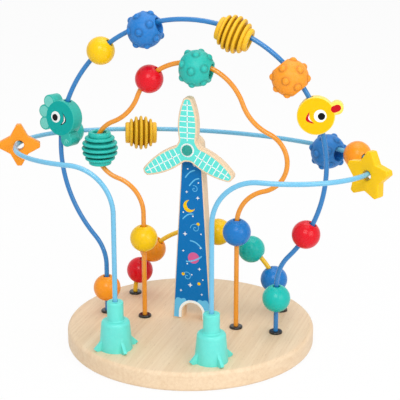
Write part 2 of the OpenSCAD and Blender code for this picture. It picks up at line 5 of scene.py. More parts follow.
import bmesh
import bpy
from bpy.props import FloatProperty, FloatVectorProperty, IntProperty, PointerProperty
from mathutils import Matrix, Vector
from mathutils.geometry import tessellate_polygon


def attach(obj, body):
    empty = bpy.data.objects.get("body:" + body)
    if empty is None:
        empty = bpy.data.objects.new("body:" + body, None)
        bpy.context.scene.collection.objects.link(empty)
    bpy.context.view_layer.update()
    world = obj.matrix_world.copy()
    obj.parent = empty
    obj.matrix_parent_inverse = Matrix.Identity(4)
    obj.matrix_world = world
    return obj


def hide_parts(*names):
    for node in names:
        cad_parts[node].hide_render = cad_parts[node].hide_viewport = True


bl_info = {
    "name": "Bead Maze",
    "version": (1, 0, 0),
    "blender": (4, 5, 0),
    "location": "View3D > Sidebar > Bead Maze",
    "description": "Makes a bead maze with bent wires, sliding beads and a tower with a propeller",
    "category": "Add Mesh",
}

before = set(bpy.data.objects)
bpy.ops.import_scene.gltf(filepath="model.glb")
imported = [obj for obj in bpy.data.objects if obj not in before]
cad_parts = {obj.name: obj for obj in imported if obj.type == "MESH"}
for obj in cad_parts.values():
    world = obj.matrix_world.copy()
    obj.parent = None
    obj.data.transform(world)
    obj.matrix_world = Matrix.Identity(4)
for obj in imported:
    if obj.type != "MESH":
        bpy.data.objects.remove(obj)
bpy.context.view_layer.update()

# Units and small values that every piece shares
MM = 0.001
HALF_TURN = math.pi
QUARTER_TURN = math.pi / 2
FULL_TURN = 2 * math.pi
WELD = 0.0001 * MM
CREASE = math.radians(34)
SOFT_CREASE = math.radians(75)
PATH_STEP = 1.6 * MM
# Name of the mesh attribute that holds painted shade: a darkening of the soft beads in their grooves and
# round their nubs
PAINTED_SHADE_ATTRIBUTE = "nook"
STATIC_BODY = "frame"
SNUG = 0.05 * MM
FILM = 0.16 * MM
FILM_EDGE = 0.02 * MM
FILM_STEP = 0.03 * MM


# Properties

# The curve from a screen's tones to light: its straight foot, and the power above it
FULL_TONE = 255
FOOT_END = 0.04045
FOOT_SLOPE = 12.92
CURVE_SHIFT = 0.055
CURVE_POWER = 2.4


def linear(red, green, blue):
    """A colour as the shader wants it, from values of 0 to 255."""
    parts = []
    for value in (red, green, blue):
        tone = value / FULL_TONE
        if tone <= FOOT_END:
            parts.append(tone / FOOT_SLOPE)
        else:
            parts.append(((tone + CURVE_SHIFT) / (1 + CURVE_SHIFT)) ** CURVE_POWER)
    return (*parts, 1.0)


def size(name, description, millimetres):
    """A length that the user can change."""
    return FloatProperty(
        name=name, description=description, default=millimetres * MM, precision=5, unit="LENGTH"
    )


def angle(name, description, degrees):
    """An angle that the user can change."""
    return FloatProperty(
        name=name, description=description, default=math.radians(degrees), subtype="ANGLE"
    )


def level(name, description, value):
    """A plain number that the user can change."""
    return FloatProperty(name=name, description=description, default=value)


def tally(name, description, value, least):
    """A number of like parts that the user can change."""
    return IntProperty(name=name, description=description, default=value, min=least)


def paint(name, description, red, green, blue):
    """A colour that the user can change."""
    return FloatVectorProperty(
        name=name,
        description=description,
        default=linear(red, green, blue),
        size=4,
        min=0.0,
        max=1.0,
        subtype="COLOR",
    )


class MazeBoard(bpy.types.PropertyGroup):
    """Sizes of the board, the collars and the screws under it."""

    width: size("Board", "Diameter of the round board", 220)
    thickness: size("Thickness", "Thickness of the board", 17)
    edge: size("Edge", "Rounding of the board's two edges", 3.5)
    collar_width: size("Collar", "Diameter of the black collar round a wire's foot", 11.7)
    collar_height: size("Collar height", "Height of that collar", 2)
    screw_head: size("Screw head", "Diameter of a screw's head", 7.5)
    screw_head_height: size("Head height", "Height of a screw's head", 2.6)
    screw_recess: size("Screw recess", "Depth of a screw's head under the board", 0.8)


class MazeWires(bpy.types.PropertyGroup):
    """Sizes of the four bent wires."""

    thickness: size("Wire", "Diameter of every bent wire", 4.2)
    link: size("Link", "Straight length between two bends", 0.6)
    seat: size("Seat", "Depth of a wire's end in the board", 12)
    arch_y: size("Arch plane", "Plane that the arch stands in", -2)
    arch_foot_r: size("Arch foot", "Bend between the foot and the arch", 40)
    arch_foot_turn: angle("Arch foot turn", "Angle of that bend", 41.7)
    arch_r: size("Arch", "Radius of the arch", 120)
    arch_top: size("Arch top", "Height of the arch's top", 289.5)
    wave_y: size("Wave plane", "Plane that the wave stands in", -2)
    wave_foot_r: size("Wave foot", "Outward bend above the foot", 32)
    wave_foot_turn: angle("Wave foot turn", "Angle of that outward bend", 74.3)
    bulge_r: size("Bulge", "Radius of the bulge at each side", 27)
    waist_r: size("Waist", "Bend between the bulge and the dome", 42)
    waist_turn: angle("Waist turn", "Angle of that bend", 45.7)
    dome_r: size("Dome", "Radius of the dome", 50)
    dome_turn: angle("Dome turn", "Angle from the dome's top to its side", 69.1)
    dome_top: size("Dome top", "Height of the dome's top", 253)
    low_y: size("Hoop plane", "Plane that the low hoop stands in", 49)
    low_r: size("Hoop", "Radius of the low hoop", 71)
    loop_foot_y: size("Loop feet", "Place of the loop's two feet from front to back", -74.5)
    loop_top: size("Loop height", "Height where the rising wire turns level", 175.5)
    loop_rise_r: size("Loop rise", "Bend where the rising wire turns outward", 39)
    loop_side_r: size("Loop side", "Radius of the loop's two sides", 76)
    loop_back_r: size("Loop back", "Radius of the loop's wide back", 208.4)
    loop_side_turn: angle("Loop side turn", "Angle through which a side turns", 142)
    loop_tilt: angle("Loop slope", "Slope of the loop, down to the back", 3)


class MazeSockets(bpy.types.PropertyGroup):
    """Sizes of the two moulded sockets."""

    body_height: size("Body height", "Height of a socket's tapered body", 25.5)
    foot: size("Foot", "Width of that body on the board", 28.5)
    shoulder: size("Shoulder", "Width of that body at its shoulder", 24)
    neck: size("Neck", "Width of the neck that holds the wire", 14)
    neck_height: size("Neck height", "Height of the neck", 17)
    floor: size("Floor", "Solid floor under the wire's end", 12)
    fin_height: size("Fin height", "Height of a fin", 9.5)
    fin_reach: size("Fin reach", "Reach of a fin out of the body", 6)
    fin_thickness: size("Fin", "Thickness of a fin", 3)
    fin_count: tally("Fins", "Number of fins round a socket", 4, 2)
    screw_x: size("Screws", "Distance of a screw from the middle of its socket", 8)


class MazeTower(bpy.types.PropertyGroup):
    """Sizes of the tower and its propeller."""

    front_y: size("Front", "Front face of the tower", 3.7)
    thickness: size("Thickness", "Thickness of the tower", 13)
    foot: size("Foot", "Width of the tower on the board", 36)
    head: size("Head", "Width of the tower at the axle", 17)
    door: size("Doorway", "Width of the arched doorway", 18)
    door_height: size("Doorway height", "Height of the arched doorway", 15)
    axle_z: size("Axle height", "Height of the propeller's axle", 178)
    axle: size("Axle", "Diameter of the axle", 5)
    axle_head: size("Axle head", "Diameter of the axle's flat head", 9.4)
    axle_head_height: size("Axle head height", "Thickness of that head", 1.5)
    nut: size("Nut", "Diameter of the push-on nut", 11)
    nut_height: size("Nut height", "Thickness of the push-on nut", 3.5)
    washer: size("Washer", "Diameter of the washer behind the propeller", 12)
    washer_height: size("Washer height", "Thickness of that washer", 2.5)
    play: size("Running gap", "Gap on each side of the propeller", 0.08)
    blade_thickness: size("Propeller", "Thickness of the propeller", 9)
    blade_reach: size("Blade reach", "Radius to a blade's tip", 46)
    blade_width: size("Blade", "Width of a blade", 17.4)
    blade_widest: size("Blade middle", "Distance from the axle to a blade's widest place", 20)
    blade_side_r: size("Blade side", "Radius of a blade's curved sides", 62)
    blade_tip_r: size("Blade tip", "Radius of a blade's round tip", 5.5)
    hub: size("Hub", "Diameter of the propeller's hub", 21)
    blade_count: tally("Blades", "Number of blades", 3, 2)


class MazeBeads(bpy.types.PropertyGroup):
    """Sizes of the beads."""

    ball: size("Smooth bead", "Diameter of a smooth bead", 24.5)
    ball_length: size("Smooth bead length", "Length of a smooth bead", 23)
    ball_hole: size("Smooth bead hole", "Hole through a smooth bead", 6.3)
    knob: size("Knobbly bead", "Diameter of a knobbly bead without its nubs", 31)
    knob_length: size("Knobbly bead length", "Length of a knobbly bead", 29)
    knob_hole: size("Knobbly bead hole", "Hole through a knobbly bead", 13)
    nub: size("Nub", "Diameter of a nub's ball", 6.6)
    nub_rise: size("Nub rise", "Height of a nub", 2)
    rib: size("Ribbed bead", "Diameter of a ribbed bead", 32)
    rib_length: size("Ribbed bead length", "Length of a ribbed bead", 29.5)
    rib_hole: size("Ribbed bead hole", "Hole through a ribbed bead", 12)
    rib_count: tally("Ribs", "Number of ribs", 5, 3)
    collar: size("End collar", "Width of a ribbed bead's collars", 20)
    collar_length: size("End collar length", "Length of such a collar", 3.4)
    flat: size("Flat bead", "Diameter of a flat bead's disc", 31.5)
    flat_thickness: size("Flat bead thickness", "Thickness of a flat bead", 12.4)
    flat_hole: size("Flat bead hole", "Hole along a flat bead", 6.6)
    lobe: size("Fin lobe", "Diameter of a lobe of the fish's fin", 12)
    tail: size("Tail", "Diameter of the fish's tail", 12)
    comb: size("Comb", "Diameter of the chick's comb", 11)
    fish_turn: angle("Fish turn", "Turn of the fish's face away from the arch's middle", 16)
    chick_turn: angle("Chick turn", "Turn of the chick's face away from the arch's middle", 12)
    star4_r: size("Four points", "Radius to the tips of the star with four points", 18.5)
    star5_r: size("Five points", "Radius to the tips of the star with five points", 20.5)
    star_thickness: size("Star", "Thickness of a star", 9)
    star_hole: size("Star hole", "Hole through a star", 8.6)
    star_tip: size("Star tip", "Width of a star's blunt tips", 4)
    star_lean: angle("Star lean", "Lean of a star on its wire", 16)
    star5_turn: angle("Five points turn", "Turn of the star with five points about its wire", 5)
    play: size("Play", "Play of a hanging bead on its wire", 0.35)


class MazePlaces(bpy.types.PropertyGroup):
    """Lengths of free wire between the beads."""

    arch_ribbed: size("Arch ribbed", "Wire between the top and the ribbed bead", 26.5)
    arch_orange_knob: size("Arch orange", "Wire between the ribbed and the orange knobbly bead", 32)
    arch_chick: size("Arch chick", "Wire between the orange knobbly bead and the chick", 8)
    arch_red: size("Arch red", "Wire between the chick and the red bead", 82)
    arch_blue_knob: size("Arch blue", "Wire between the top and the blue knobbly bead", 27)
    arch_yellow: size("Arch yellow", "Wire between the blue knobbly and the yellow bead", 20.5)
    arch_fish: size("Arch fish", "Wire between the yellow bead and the fish", 45.5)
    arch_orange: size("Arch left leg", "Wire under the orange bead on the left leg", 10)
    arch_green: size("Arch right leg", "Wire under the green bead on the right leg", 19)
    wave_knob: size("Wave knobbly", "Wire between the dome's top and the knobbly bead's middle", 7)
    wave_red: size("Wave red", "Wire between the knobbly and the red bead", 22)
    wave_yellow: size("Wave left leg", "Wire under the yellow bead on the left leg", 61.5)
    wave_blue: size("Wave right leg", "Wire under the blue bead on the right leg", 76)
    low_yellow: size("Hoop yellow", "Wire between the top and the yellow bead's middle", 10.8)
    low_green: size("Hoop green", "Wire between the yellow and the green bead", 12)
    low_blue: size("Hoop blue", "Wire between the green and the blue bead", 12)
    low_orange: size("Hoop orange", "Wire between the yellow and the orange bead", 48.5)
    low_red: size("Hoop red", "Wire between the orange and the red bead", 3.5)
    loop_star: size("Loop star", "Wire between the rising bend and a star", 104)
    loop_bead: size("Loop bead", "Wire between a star and the smooth bead behind it", 55)
    loop_ribbed: size("Loop ribbed", "Wire between the middle of the back and the ribbed bead", 66)
    loop_knob: size("Loop knobbly", "Wire between the knobbly bead and the end of the back", 14.2)


class MazeColours(bpy.types.PropertyGroup):
    """Colours of the finishes."""

    beech: paint("Beech", "Pale wood between the streaks", 243, 219, 187)
    beech_dark: paint("Beech streaks", "Darker streaks and flecks of the wood", 222, 188, 148)
    red: paint("Red", "Red lacquer", 224, 6, 30)
    orange: paint("Orange", "Orange lacquer", 251, 153, 28)
    yellow: paint("Yellow", "Yellow lacquer", 248, 198, 0)
    green: paint("Green", "Sea-green lacquer", 22, 188, 176)
    blue: paint("Blue", "Blue lacquer", 24, 120, 198)
    teal: paint("Teal", "Teal of the soft beads", 28, 190, 177)
    golden: paint("Golden", "Yellow of the soft beads", 244, 190, 24)
    tangerine: paint("Tangerine", "Orange of the soft knobbly bead", 255, 158, 28)
    marine: paint("Marine", "Blue of the soft knobbly beads", 22, 122, 202)
    arch_blue: paint("Arch blue", "Enamel of the arch", 30, 122, 190)
    wave_orange: paint("Wave orange", "Enamel of the wave", 238, 150, 30)
    hoop_yellow: paint("Hoop yellow", "Enamel of the low hoop", 242, 192, 22)
    loop_sky: paint("Loop sky", "Enamel of the loop", 110, 188, 224)
    mint: paint("Mint", "Turquoise of the sockets and the propeller", 102, 226, 214)
    hub_teal: paint("Hub teal", "Axle head in the middle of the propeller", 0, 152, 138)
    black: paint("Black", "Collars and eyes", 8, 8, 9)
    white: paint("White", "White ink", 246, 248, 246)
    night: paint("Night", "Blue field on the tower", 0, 113, 184)
    haze: paint("Haze", "Pale blue ink on the tower", 104, 192, 236)
    rose: paint("Rose", "Pink ink on the tower", 214, 96, 150)
    fish: paint("Fish", "Front of the fish", 0, 168, 160)
    fish_side: paint("Fish sides", "Sides, tail and outlines of the fish", 44, 178, 164)
    fish_pale: paint("Fish fin", "Webs of the fish's fin and tail", 118, 208, 196)
    chick: paint("Chick", "Front of the chick", 246, 194, 0)
    chick_pale: paint("Chick sides", "Sides of the chick", 255, 226, 96)
    comb_red: paint("Comb", "Red ink of the chick's comb", 200, 10, 28)
    steel: paint("Steel", "Screws and the nut", 190, 190, 194)


class MazeLight(bpy.types.PropertyGroup):
    """The camera and the studio light."""

    azimuth: angle("Azimuth", "Camera's angle to the right of the front", 17.7716)
    elevation: angle("Elevation", "Camera's angle above the horizon", 17.5369)
    camera_x: size("Camera X", "Camera's place to the right", 328.97)
    camera_y: size("Camera Y", "Camera's place to the back", -998.71)
    camera_z: size("Camera Z", "Camera's height", 463.26)
    lens: level("Lens", "Focal length in millimetres", 113.73)
    sky: level("Sky", "Strength of the light from all round", 0.5)
    key: level("Key", "Power of the soft box beside the camera in watts", 11.0)
    fill: level("Fill", "Power of the soft box on the right in watts", 6.5)
    top: level("Top", "Power of the soft box overhead in watts", 9.0)


# Points, outlines and shells

# Limits of rounded and of inset corners, and the steps of small rounds
CORNER_SHARE = 0.45
CORNER_LEAST = 0.3
CAP_STEPS = 7
ROUND_STEPS = 7
DRILL_SIDES = 48


def spaced(start, end, count):
    """Evenly spaced values from start to end, both included."""
    return [start + (end - start) * i / (count - 1) for i in range(count)]


def polar(middle, radius, at):
    """The point at a distance from a middle, along an angle."""
    return (middle[0] + radius * math.cos(at), middle[1] + radius * math.sin(at))


def circle(radius, count, middle=(0.0, 0.0)):
    """Points of a circle, counter-clockwise."""
    return [polar(middle, radius, FULL_TURN * i / count) for i in range(count)]


def arc(middle, radius, start, end, count):
    """Points of an arc, from one angle to another."""
    return [polar(middle, radius, at) for at in spaced(start, end, count)]


def smooth_max(first, second, width):
    """The greater of two values, with a soft change from one to the other."""
    overlap = max(width - abs(first - second), 0.0) / width
    return max(first, second) + overlap * overlap * width / 4


def rounded(corners, radius, count=6):
    """A closed outline whose corners are turned into arcs."""
    outline = []
    for i, corner in enumerate(corners):
        here = Vector(corner)
        back = Vector(corners[i - 1]) - here
        ahead = Vector(corners[(i + 1) % len(corners)]) - here
        half_angle = back.angle(ahead) / 2
        cut = min(radius / math.tan(half_angle), CORNER_SHARE * min(back.length, ahead.length))
        to_middle = cut * math.tan(half_angle) / math.sin(half_angle)
        back, ahead = back.normalized(), ahead.normalized()
        middle = here + (back + ahead).normalized() * to_middle
        first = here + back * cut - middle
        last = here + ahead * cut - middle
        swing = first.angle_signed(last)
        for share in spaced(0.0, 1.0, count):
            turned_by = Matrix.Rotation(-swing * share, 2)
            outline.append(tuple(middle + turned_by @ first))
    return outline


def inset(outline, depth):
    """The outline moved to its left by a depth, which is inward on a counter-clockwise one."""
    moved = []
    for i, point in enumerate(outline):
        here = Vector(point)
        before = (here - Vector(outline[i - 1])).normalized()
        after = (Vector(outline[(i + 1) % len(outline)]) - here).normalized()
        left = Vector((-before.y - after.y, before.x + after.x))
        moved.append(tuple(here + left * depth / max(1.0 + before.dot(after), CORNER_LEAST)))
    return moved


def stroke(line, width):
    """The outline of a line of some width with round ends."""
    half = width / 2
    outline = []
    points = [Vector(p) for p in line]
    for path in (points, points[::-1]):
        for i, here in enumerate(path[:-1]):
            along = (path[i + 1] - here).normalized()
            outline.append(tuple(here + Vector((along.y, -along.x)) * half))
        end = path[-1]
        along = (end - path[-2]).normalized()
        facing = math.atan2(along.y, along.x)
        outline.extend(arc(end, half, facing - QUARTER_TURN, facing + QUARTER_TURN, CAP_STEPS))
    return outline


class Shape:
    """Points and faces of one piece, gathered shell by shell."""

    def __init__(self, shell=None, matrix=None):
        self.points = []
        self.faces = []
        # Painted shade of each point, from 0 to 1, where a piece has it
        self.painted_shades = []
        if shell:
            self.add(shell, matrix)

    def add(self, shell, matrix=None):
        """Adds a shell, moved by a matrix."""
        points, faces = shell
        first = len(self.points)
        for point in points:
            spot = Vector(point)
            self.points.append(matrix @ spot if matrix else spot)
        for face in faces:
            self.faces.append([first + corner for corner in face])
        return self


def ring_faces(rows, sides, first=0, closed=False):
    """Faces between rows of points, each row a ring. Closed, the last row meets the first."""
    faces = []
    for row in range(rows if closed else rows - 1):
        low = first + row * sides
        high = first + (row + 1) % rows * sides
        for i in range(sides):
            j = (i + 1) % sides
            faces.append((low + i, low + j, high + j, high + i))
    return faces


def turned(profile, sides, closed=True):
    """A profile of (radius, height) turned about Z. A closed one makes a ring."""
    points = []
    for radius, height in profile:
        points.extend((x, y, height) for x, y in circle(radius, sides))
    return points, ring_faces(len(profile), sides, closed=closed)


def swept(path, radius, sides=28):
    """A round wire along a path, with closed ends."""
    points = []
    across = None
    count = len(path)
    for i, here in enumerate(path):
        along = (path[min(i + 1, count - 1)] - path[max(i - 1, 0)]).normalized()
        if across is None:
            across = along.orthogonal().normalized()
        across = (across - along * across.dot(along)).normalized()
        other = along.cross(across)
        points.extend(here + across * x + other * y for x, y in circle(radius, sides))
    faces = ring_faces(count, sides)
    faces.append(list(range(sides - 1, -1, -1)))
    faces.append([(count - 1) * sides + i for i in range(sides)])
    return points, faces


def slab(loops, thickness, bevel, steps=5):
    """A flat slab in XY with rounded edges, from its outline and then its holes, which run clockwise."""
    half = thickness / 2
    rows = []
    for at in spaced(0.0, QUARTER_TURN, steps):
        rows.append((bevel * (1 - math.sin(at)), bevel * (1 - math.cos(at)) - half))
    rows += [(depth, -height) for depth, height in reversed(rows)]
    points, faces, lids = [], [], [[], []]
    names = [[], []]
    for loop in loops:
        first = len(points)
        count = len(loop)
        for depth, height in rows:
            points.extend((x, y, height) for x, y in inset(loop, depth))
        faces += ring_faces(len(rows), count, first)
        for lid, row in ((0, 0), (1, len(rows) - 1)):
            start = first + row * count
            lids[lid].append([Vector(points[start + i]) for i in range(count)])
            names[lid].extend(range(start, start + count))
    for lid in (0, 1):
        for triangle in tessellate_polygon(lids[lid]):
            faces.append([names[lid][corner] for corner in triangle])
    return points, faces


def tidy_mesh(mesh):
    """Welds points that meet and turns every face outward."""
    clean = bmesh.new()
    clean.from_mesh(mesh)
    bmesh.ops.remove_doubles(clean, verts=clean.verts, dist=WELD)
    bmesh.ops.recalc_face_normals(clean, faces=clean.faces)
    clean.to_mesh(mesh)
    clean.free()


def make_piece(name, shape, coat, body=STATIC_BODY, matrix=None, nodes=(), crease=CREASE):
    """Turns a shape into an object that rides on a body and stands for its nodes."""
    mesh = bpy.data.meshes.new(name)
    mesh.from_pydata(shape.points, [], shape.faces)
    # Keeps each point's painted shade as a mesh attribute, for the material to read
    if shape.painted_shades:
        mesh.attributes.new(PAINTED_SHADE_ATTRIBUTE, "FLOAT", "POINT").data.foreach_set("value", shape.painted_shades)
    if matrix:
        mesh.transform(matrix)
    tidy_mesh(mesh)
    mesh.shade_smooth()
    mesh.set_sharp_from_angle(angle=crease)
    mesh.materials.append(coat)
    piece = bpy.data.objects.new(name, mesh)
    bpy.context.scene.collection.objects.link(piece)
    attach(piece, body)
    if nodes:
        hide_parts(*nodes)
    return piece


def drill(piece, place, radius, length):
    """Cuts a round bore along the X of a place."""
    cutter_mesh = bpy.data.meshes.new("drill")
    half = length / 2
    rod = [(0.0, half), (radius, half), (radius, -half), (0.0, -half)]
    points, faces = turned(rod, DRILL_SIDES, closed=False)
    cutter_mesh.from_pydata([place @ BORE @ Vector(p) for p in points], [], faces)
    tidy_mesh(cutter_mesh)
    cutter = bpy.data.objects.new("drill", cutter_mesh)
    bpy.context.scene.collection.objects.link(cutter)
    cut = piece.modifiers.new("bore", "BOOLEAN")
    cut.operation = "DIFFERENCE"
    cut.solver = "EXACT"
    cut.object = cutter
    graph = bpy.context.evaluated_depsgraph_get()
    bored = bpy.data.meshes.new_from_object(piece.evaluated_get(graph))
    piece.modifiers.clear()
    piece.data = bored
    bored.shade_smooth()
    bored.set_sharp_from_angle(angle=CREASE)
    bpy.data.objects.remove(cutter)
    bpy.data.meshes.remove(cutter_mesh)


def spin(axis, by):
    """A turn about one axis."""
    return Matrix.Rotation(by, 4, axis)


def shift(x, y, z):
    """A move without a turn."""
    return Matrix.Translation((x, y, z))


# Turns a bored bead from Z to its own X, a flat piece to face the front or across its bore, and front to back
BORE = spin("Y", QUARTER_TURN)
FACING = spin("X", QUARTER_TURN)
ACROSS = spin("Y", -QUARTER_TURN)
ABOUT = spin("Z", HALF_TURN)


# Shader node groups

WHITE = (1.0, 1.0, 1.0, 1.0)
GROUP_RESULTS = (
    ("Colour", "NodeSocketColor"),
    ("Roughness", "NodeSocketFloat"),
    ("Height", "NodeSocketFloat"),
)


def add_node(tree, kind, values=None, **settings):
    """A node with its settings, and its inputs linked or set."""
    made = tree.nodes.new(kind)
    for name, value in settings.items():
        setattr(made, name, value)
    for key, value in (values or {}).items():
        if isinstance(value, bpy.types.NodeSocket):
            tree.links.new(value, made.inputs[key])
        else:
            made.inputs[key].default_value = value
    return made


def noise(tree, vector, along, across, detail=3.0, roughness=0.55, distortion=0.0):
    """The value of a noise, whose scale along X may differ from that across it."""
    scale = (along, across, across)
    spread = add_node(tree, "ShaderNodeVectorMath", {0: vector, 1: scale}, operation="MULTIPLY")
    values = {"Vector": spread.outputs[0], "Scale": 1.0, "Detail": detail}
    values.update({"Roughness": roughness, "Distortion": distortion})
    return add_node(tree, "ShaderNodeTexNoise", values).outputs["Fac"]


def ramp(tree, value, low, high, start=0.0, end=1.0):
    """A value brought from one range to another."""
    values = {"Value": value, "From Min": low, "From Max": high, "To Min": start, "To Max": end}
    return add_node(tree, "ShaderNodeMapRange", values).outputs[0]


def math_node(tree, operation, first, second):
    """The result of a sum on two values."""
    return add_node(tree, "ShaderNodeMath", {0: first, 1: second}, operation=operation).outputs[0]


def weighed(tree, value, weight):
    """A value times a weight."""
    return math_node(tree, "MULTIPLY", value, weight)


def mix(tree, share, first, second, blend="MIX"):
    """Two colours mixed by a share."""
    values = {0: share, 6: first, 7: second}
    return add_node(tree, "ShaderNodeMix", values, data_type="RGBA", blend_type=blend).outputs[2]


def shaded(tree, colour, tint):
    """A colour darkened by a tint."""
    return mix(tree, 1.0, colour, tint, "MULTIPLY")


def start_group(name, inputs):
    """A new node group that puts out a colour, a roughness and a height."""
    tree = bpy.data.node_groups.new(name, "ShaderNodeTree")
    for label, kind, value in inputs:
        socket = tree.interface.new_socket(label, in_out="INPUT", socket_type=kind)
        if value is not None:
            socket.default_value = value
    for label, kind in GROUP_RESULTS:
        tree.interface.new_socket(label, in_out="OUTPUT", socket_type=kind)
    return tree, tree.nodes.new("NodeGroupInput").outputs, tree.nodes.new("NodeGroupOutput").inputs


def wood_grain_group():
    """Pale beech: long streaks, fine fibres and short dark flecks along X."""
    inputs = (
        ("Vector", "NodeSocketVector", None),
        ("Pale", "NodeSocketColor", None),
        ("Dark", "NodeSocketColor", None),
        ("Streaks", "NodeSocketFloat", 0.6),
        ("Flecks", "NodeSocketFloat", 0.5),
    )
    tree, given, result = start_group("Wood grain", inputs)
    streak_weight, ring_weight, fibre_weight, fleck_depth, burnt_share = 0.45, 0.55, 0.22, 0.5, 0.35
    burnt = (0.25, 0.12, 0.05, 1.0)
    place = given["Vector"]
    streak = noise(tree, place, along=6, across=62, detail=4.0, distortion=0.7)
    ring = noise(tree, place, along=8, across=400, distortion=0.25)
    fibre = noise(tree, place, along=70, across=1500, roughness=0.6)
    fleck = noise(tree, place, along=190, across=1500, detail=1.0)
    fleck = ramp(tree, fleck, low=0.66, high=0.74)
    wide = weighed(tree, ramp(tree, streak, low=0.3, high=0.7), streak_weight)
    fine = weighed(tree, ramp(tree, ring, low=0.38, high=0.66), ring_weight)
    thin = weighed(tree, ramp(tree, fibre, low=0.3, high=0.7), fibre_weight)
    tone = math_node(tree, "ADD", math_node(tree, "ADD", wide, fine), thin)
    colour = mix(tree, weighed(tree, tone, given["Streaks"]), given["Pale"], given["Dark"])
    deep = mix(tree, burnt_share, given["Dark"], burnt)
    colour = mix(tree, weighed(tree, fleck, given["Flecks"]), colour, deep)
    tree.links.new(colour, result["Colour"])
    tree.links.new(ramp(tree, fibre, low=0.2, high=0.8, start=0.42, end=0.58), result["Roughness"])
    height = math_node(tree, "SUBTRACT", fibre, weighed(tree, fleck, fleck_depth))
    tree.links.new(height, result["Height"])
    return tree


def paint_film_group():
    """A coat of paint: soft mottling, small specks and a slight ripple."""
    inputs = (
        ("Vector", "NodeSocketVector", None),
        ("Colour", "NodeSocketColor", None),
        ("Mottle", "NodeSocketFloat", 0.1),
        ("Gloss", "NodeSocketFloat", 0.3),
    )
    tree, given, result = start_group("Paint film", inputs)
    shade_tint, speck_depth = (0.72, 0.72, 0.74, 1.0), 0.2
    place = given["Vector"]
    cloud = noise(tree, place, along=95, across=95, detail=4.0, roughness=0.6)
    speck = noise(tree, place, along=2300, across=2300, detail=2.0)
    ripple = noise(tree, place, along=520, across=520, detail=2.0)
    shade = shaded(tree, given["Colour"], shade_tint)
    clouds = weighed(tree, ramp(tree, cloud, low=0.3, high=0.75), given["Mottle"])
    colour = mix(tree, clouds, given["Colour"], shade)
    specks = weighed(tree, ramp(tree, speck, low=0.6, high=0.8), given["Mottle"])
    colour = mix(tree, specks, colour, WHITE)
    tree.links.new(colour, result["Colour"])
    uneven = ramp(tree, cloud, low=0.3, high=0.7, start=-0.05, end=0.07)
    tree.links.new(math_node(tree, "ADD", given["Gloss"], uneven), result["Roughness"])
    tree.links.new(math_node(tree, "ADD", ripple, weighed(tree, speck, speck_depth)), result["Height"])
    return tree


def soft_skin_group():
    """Moulded soft skin: a fine pebble, a powdery bloom, faint clouds, and painted shade that darkens it
    where the mesh asks for it.
    """
    inputs = (
        ("Vector", "NodeSocketVector", None),
        ("Colour", "NodeSocketColor", None),
        ("Bloom", "NodeSocketFloat", 0.12),
        ("Gloss", "NodeSocketFloat", 0.5),
        ("Nook", "NodeSocketFloat", 0.0),
    )
    tree, given, result = start_group("Soft skin", inputs)
    shade_tint, bloom_tint = (0.78, 0.78, 0.8, 1.0), (0.9, 0.92, 0.94, 1.0)
    painted_shade_tint = (0.42, 0.36, 0.36, 1.0)
    place = given["Vector"]
    cloud = noise(tree, place, along=120, across=120, roughness=0.6)
    pebble = noise(tree, place, along=3200, across=3200, detail=1.0)
    dust = noise(tree, place, along=700, across=700, detail=4.0, roughness=0.7)
    clouds = ramp(tree, cloud, low=0.35, high=0.75, start=0.0, end=0.35)
    colour = mix(tree, clouds, given["Colour"], shaded(tree, given["Colour"], shade_tint))
    bloom = weighed(tree, ramp(tree, dust, low=0.45, high=0.75), given["Bloom"])
    colour = mix(tree, bloom, colour, bloom_tint)
    # Painted shade: the colour darkened where the mesh marks a groove or a nub's foot
    colour = mix(tree, given["Nook"], colour, shaded(tree, given["Colour"], painted_shade_tint))
    tree.links.new(colour, result["Colour"])
    uneven = ramp(tree, dust, low=0.3, high=0.7, start=-0.06, end=0.08)
    tree.links.new(math_node(tree, "ADD", given["Gloss"], uneven), result["Roughness"])
    tree.links.new(pebble, result["Height"])
    return tree


def group_named(name):
    """A shared node group, built the first time it is asked for."""
    known = bpy.data.node_groups.get(name)
    if known:
        return known
    if name == "Wood grain":
        return wood_grain_group()
    if name == "Paint film":
        return paint_film_group()
    return soft_skin_group()


# Finishes

# Turns of the wood's grain, which lies along X without one, and the strength of every relief
GRAIN_Y = (0.0, 0.0, QUARTER_TURN)
GRAIN_Z = (0.0, QUARTER_TURN, 0.0)
NO_TURN = (0.0, 0.0, 0.0)
RELIEF = 0.5


def finish(name, group, values, bump, grain=NO_TURN, **shader):
    """A material whose colour, roughness and bump come from a shared group."""
    known = bpy.data.materials.get(name)
    if known:
        return known
    made = bpy.data.materials.new(name)
    made.use_nodes = True
    tree = made.node_tree
    tree.nodes.clear()
    place = add_node(tree, "ShaderNodeTexCoord").outputs["Object"]
    place = add_node(tree, "ShaderNodeMapping", {"Vector": place, "Rotation": grain}).outputs[0]
    skin = add_node(tree, "ShaderNodeGroup", node_tree=group_named(group))
    tree.links.new(place, skin.inputs["Vector"])
    for label, value in values.items():
        # Painted shade comes from the mesh attribute through an Attribute node
        if value == PAINTED_SHADE_ATTRIBUTE:
            mask = add_node(tree, "ShaderNodeAttribute", attribute_name=PAINTED_SHADE_ATTRIBUTE)
            tree.links.new(mask.outputs["Fac"], skin.inputs[label])
        else:
            skin.inputs[label].default_value = value
    rise = {"Height": skin.outputs["Height"], "Distance": bump, "Strength": RELIEF}
    relief = add_node(tree, "ShaderNodeBump", rise)
    surface = {"Base Color": skin.outputs["Colour"], "Roughness": skin.outputs["Roughness"]}
    surface["Normal"] = relief.outputs[0]
    surface.update({label.replace("_", " "): value for label, value in shader.items()})
    bsdf = add_node(tree, "ShaderNodeBsdfPrincipled", surface)
    add_node(tree, "ShaderNodeOutputMaterial", {"Surface": bsdf.outputs[0]})
    return made


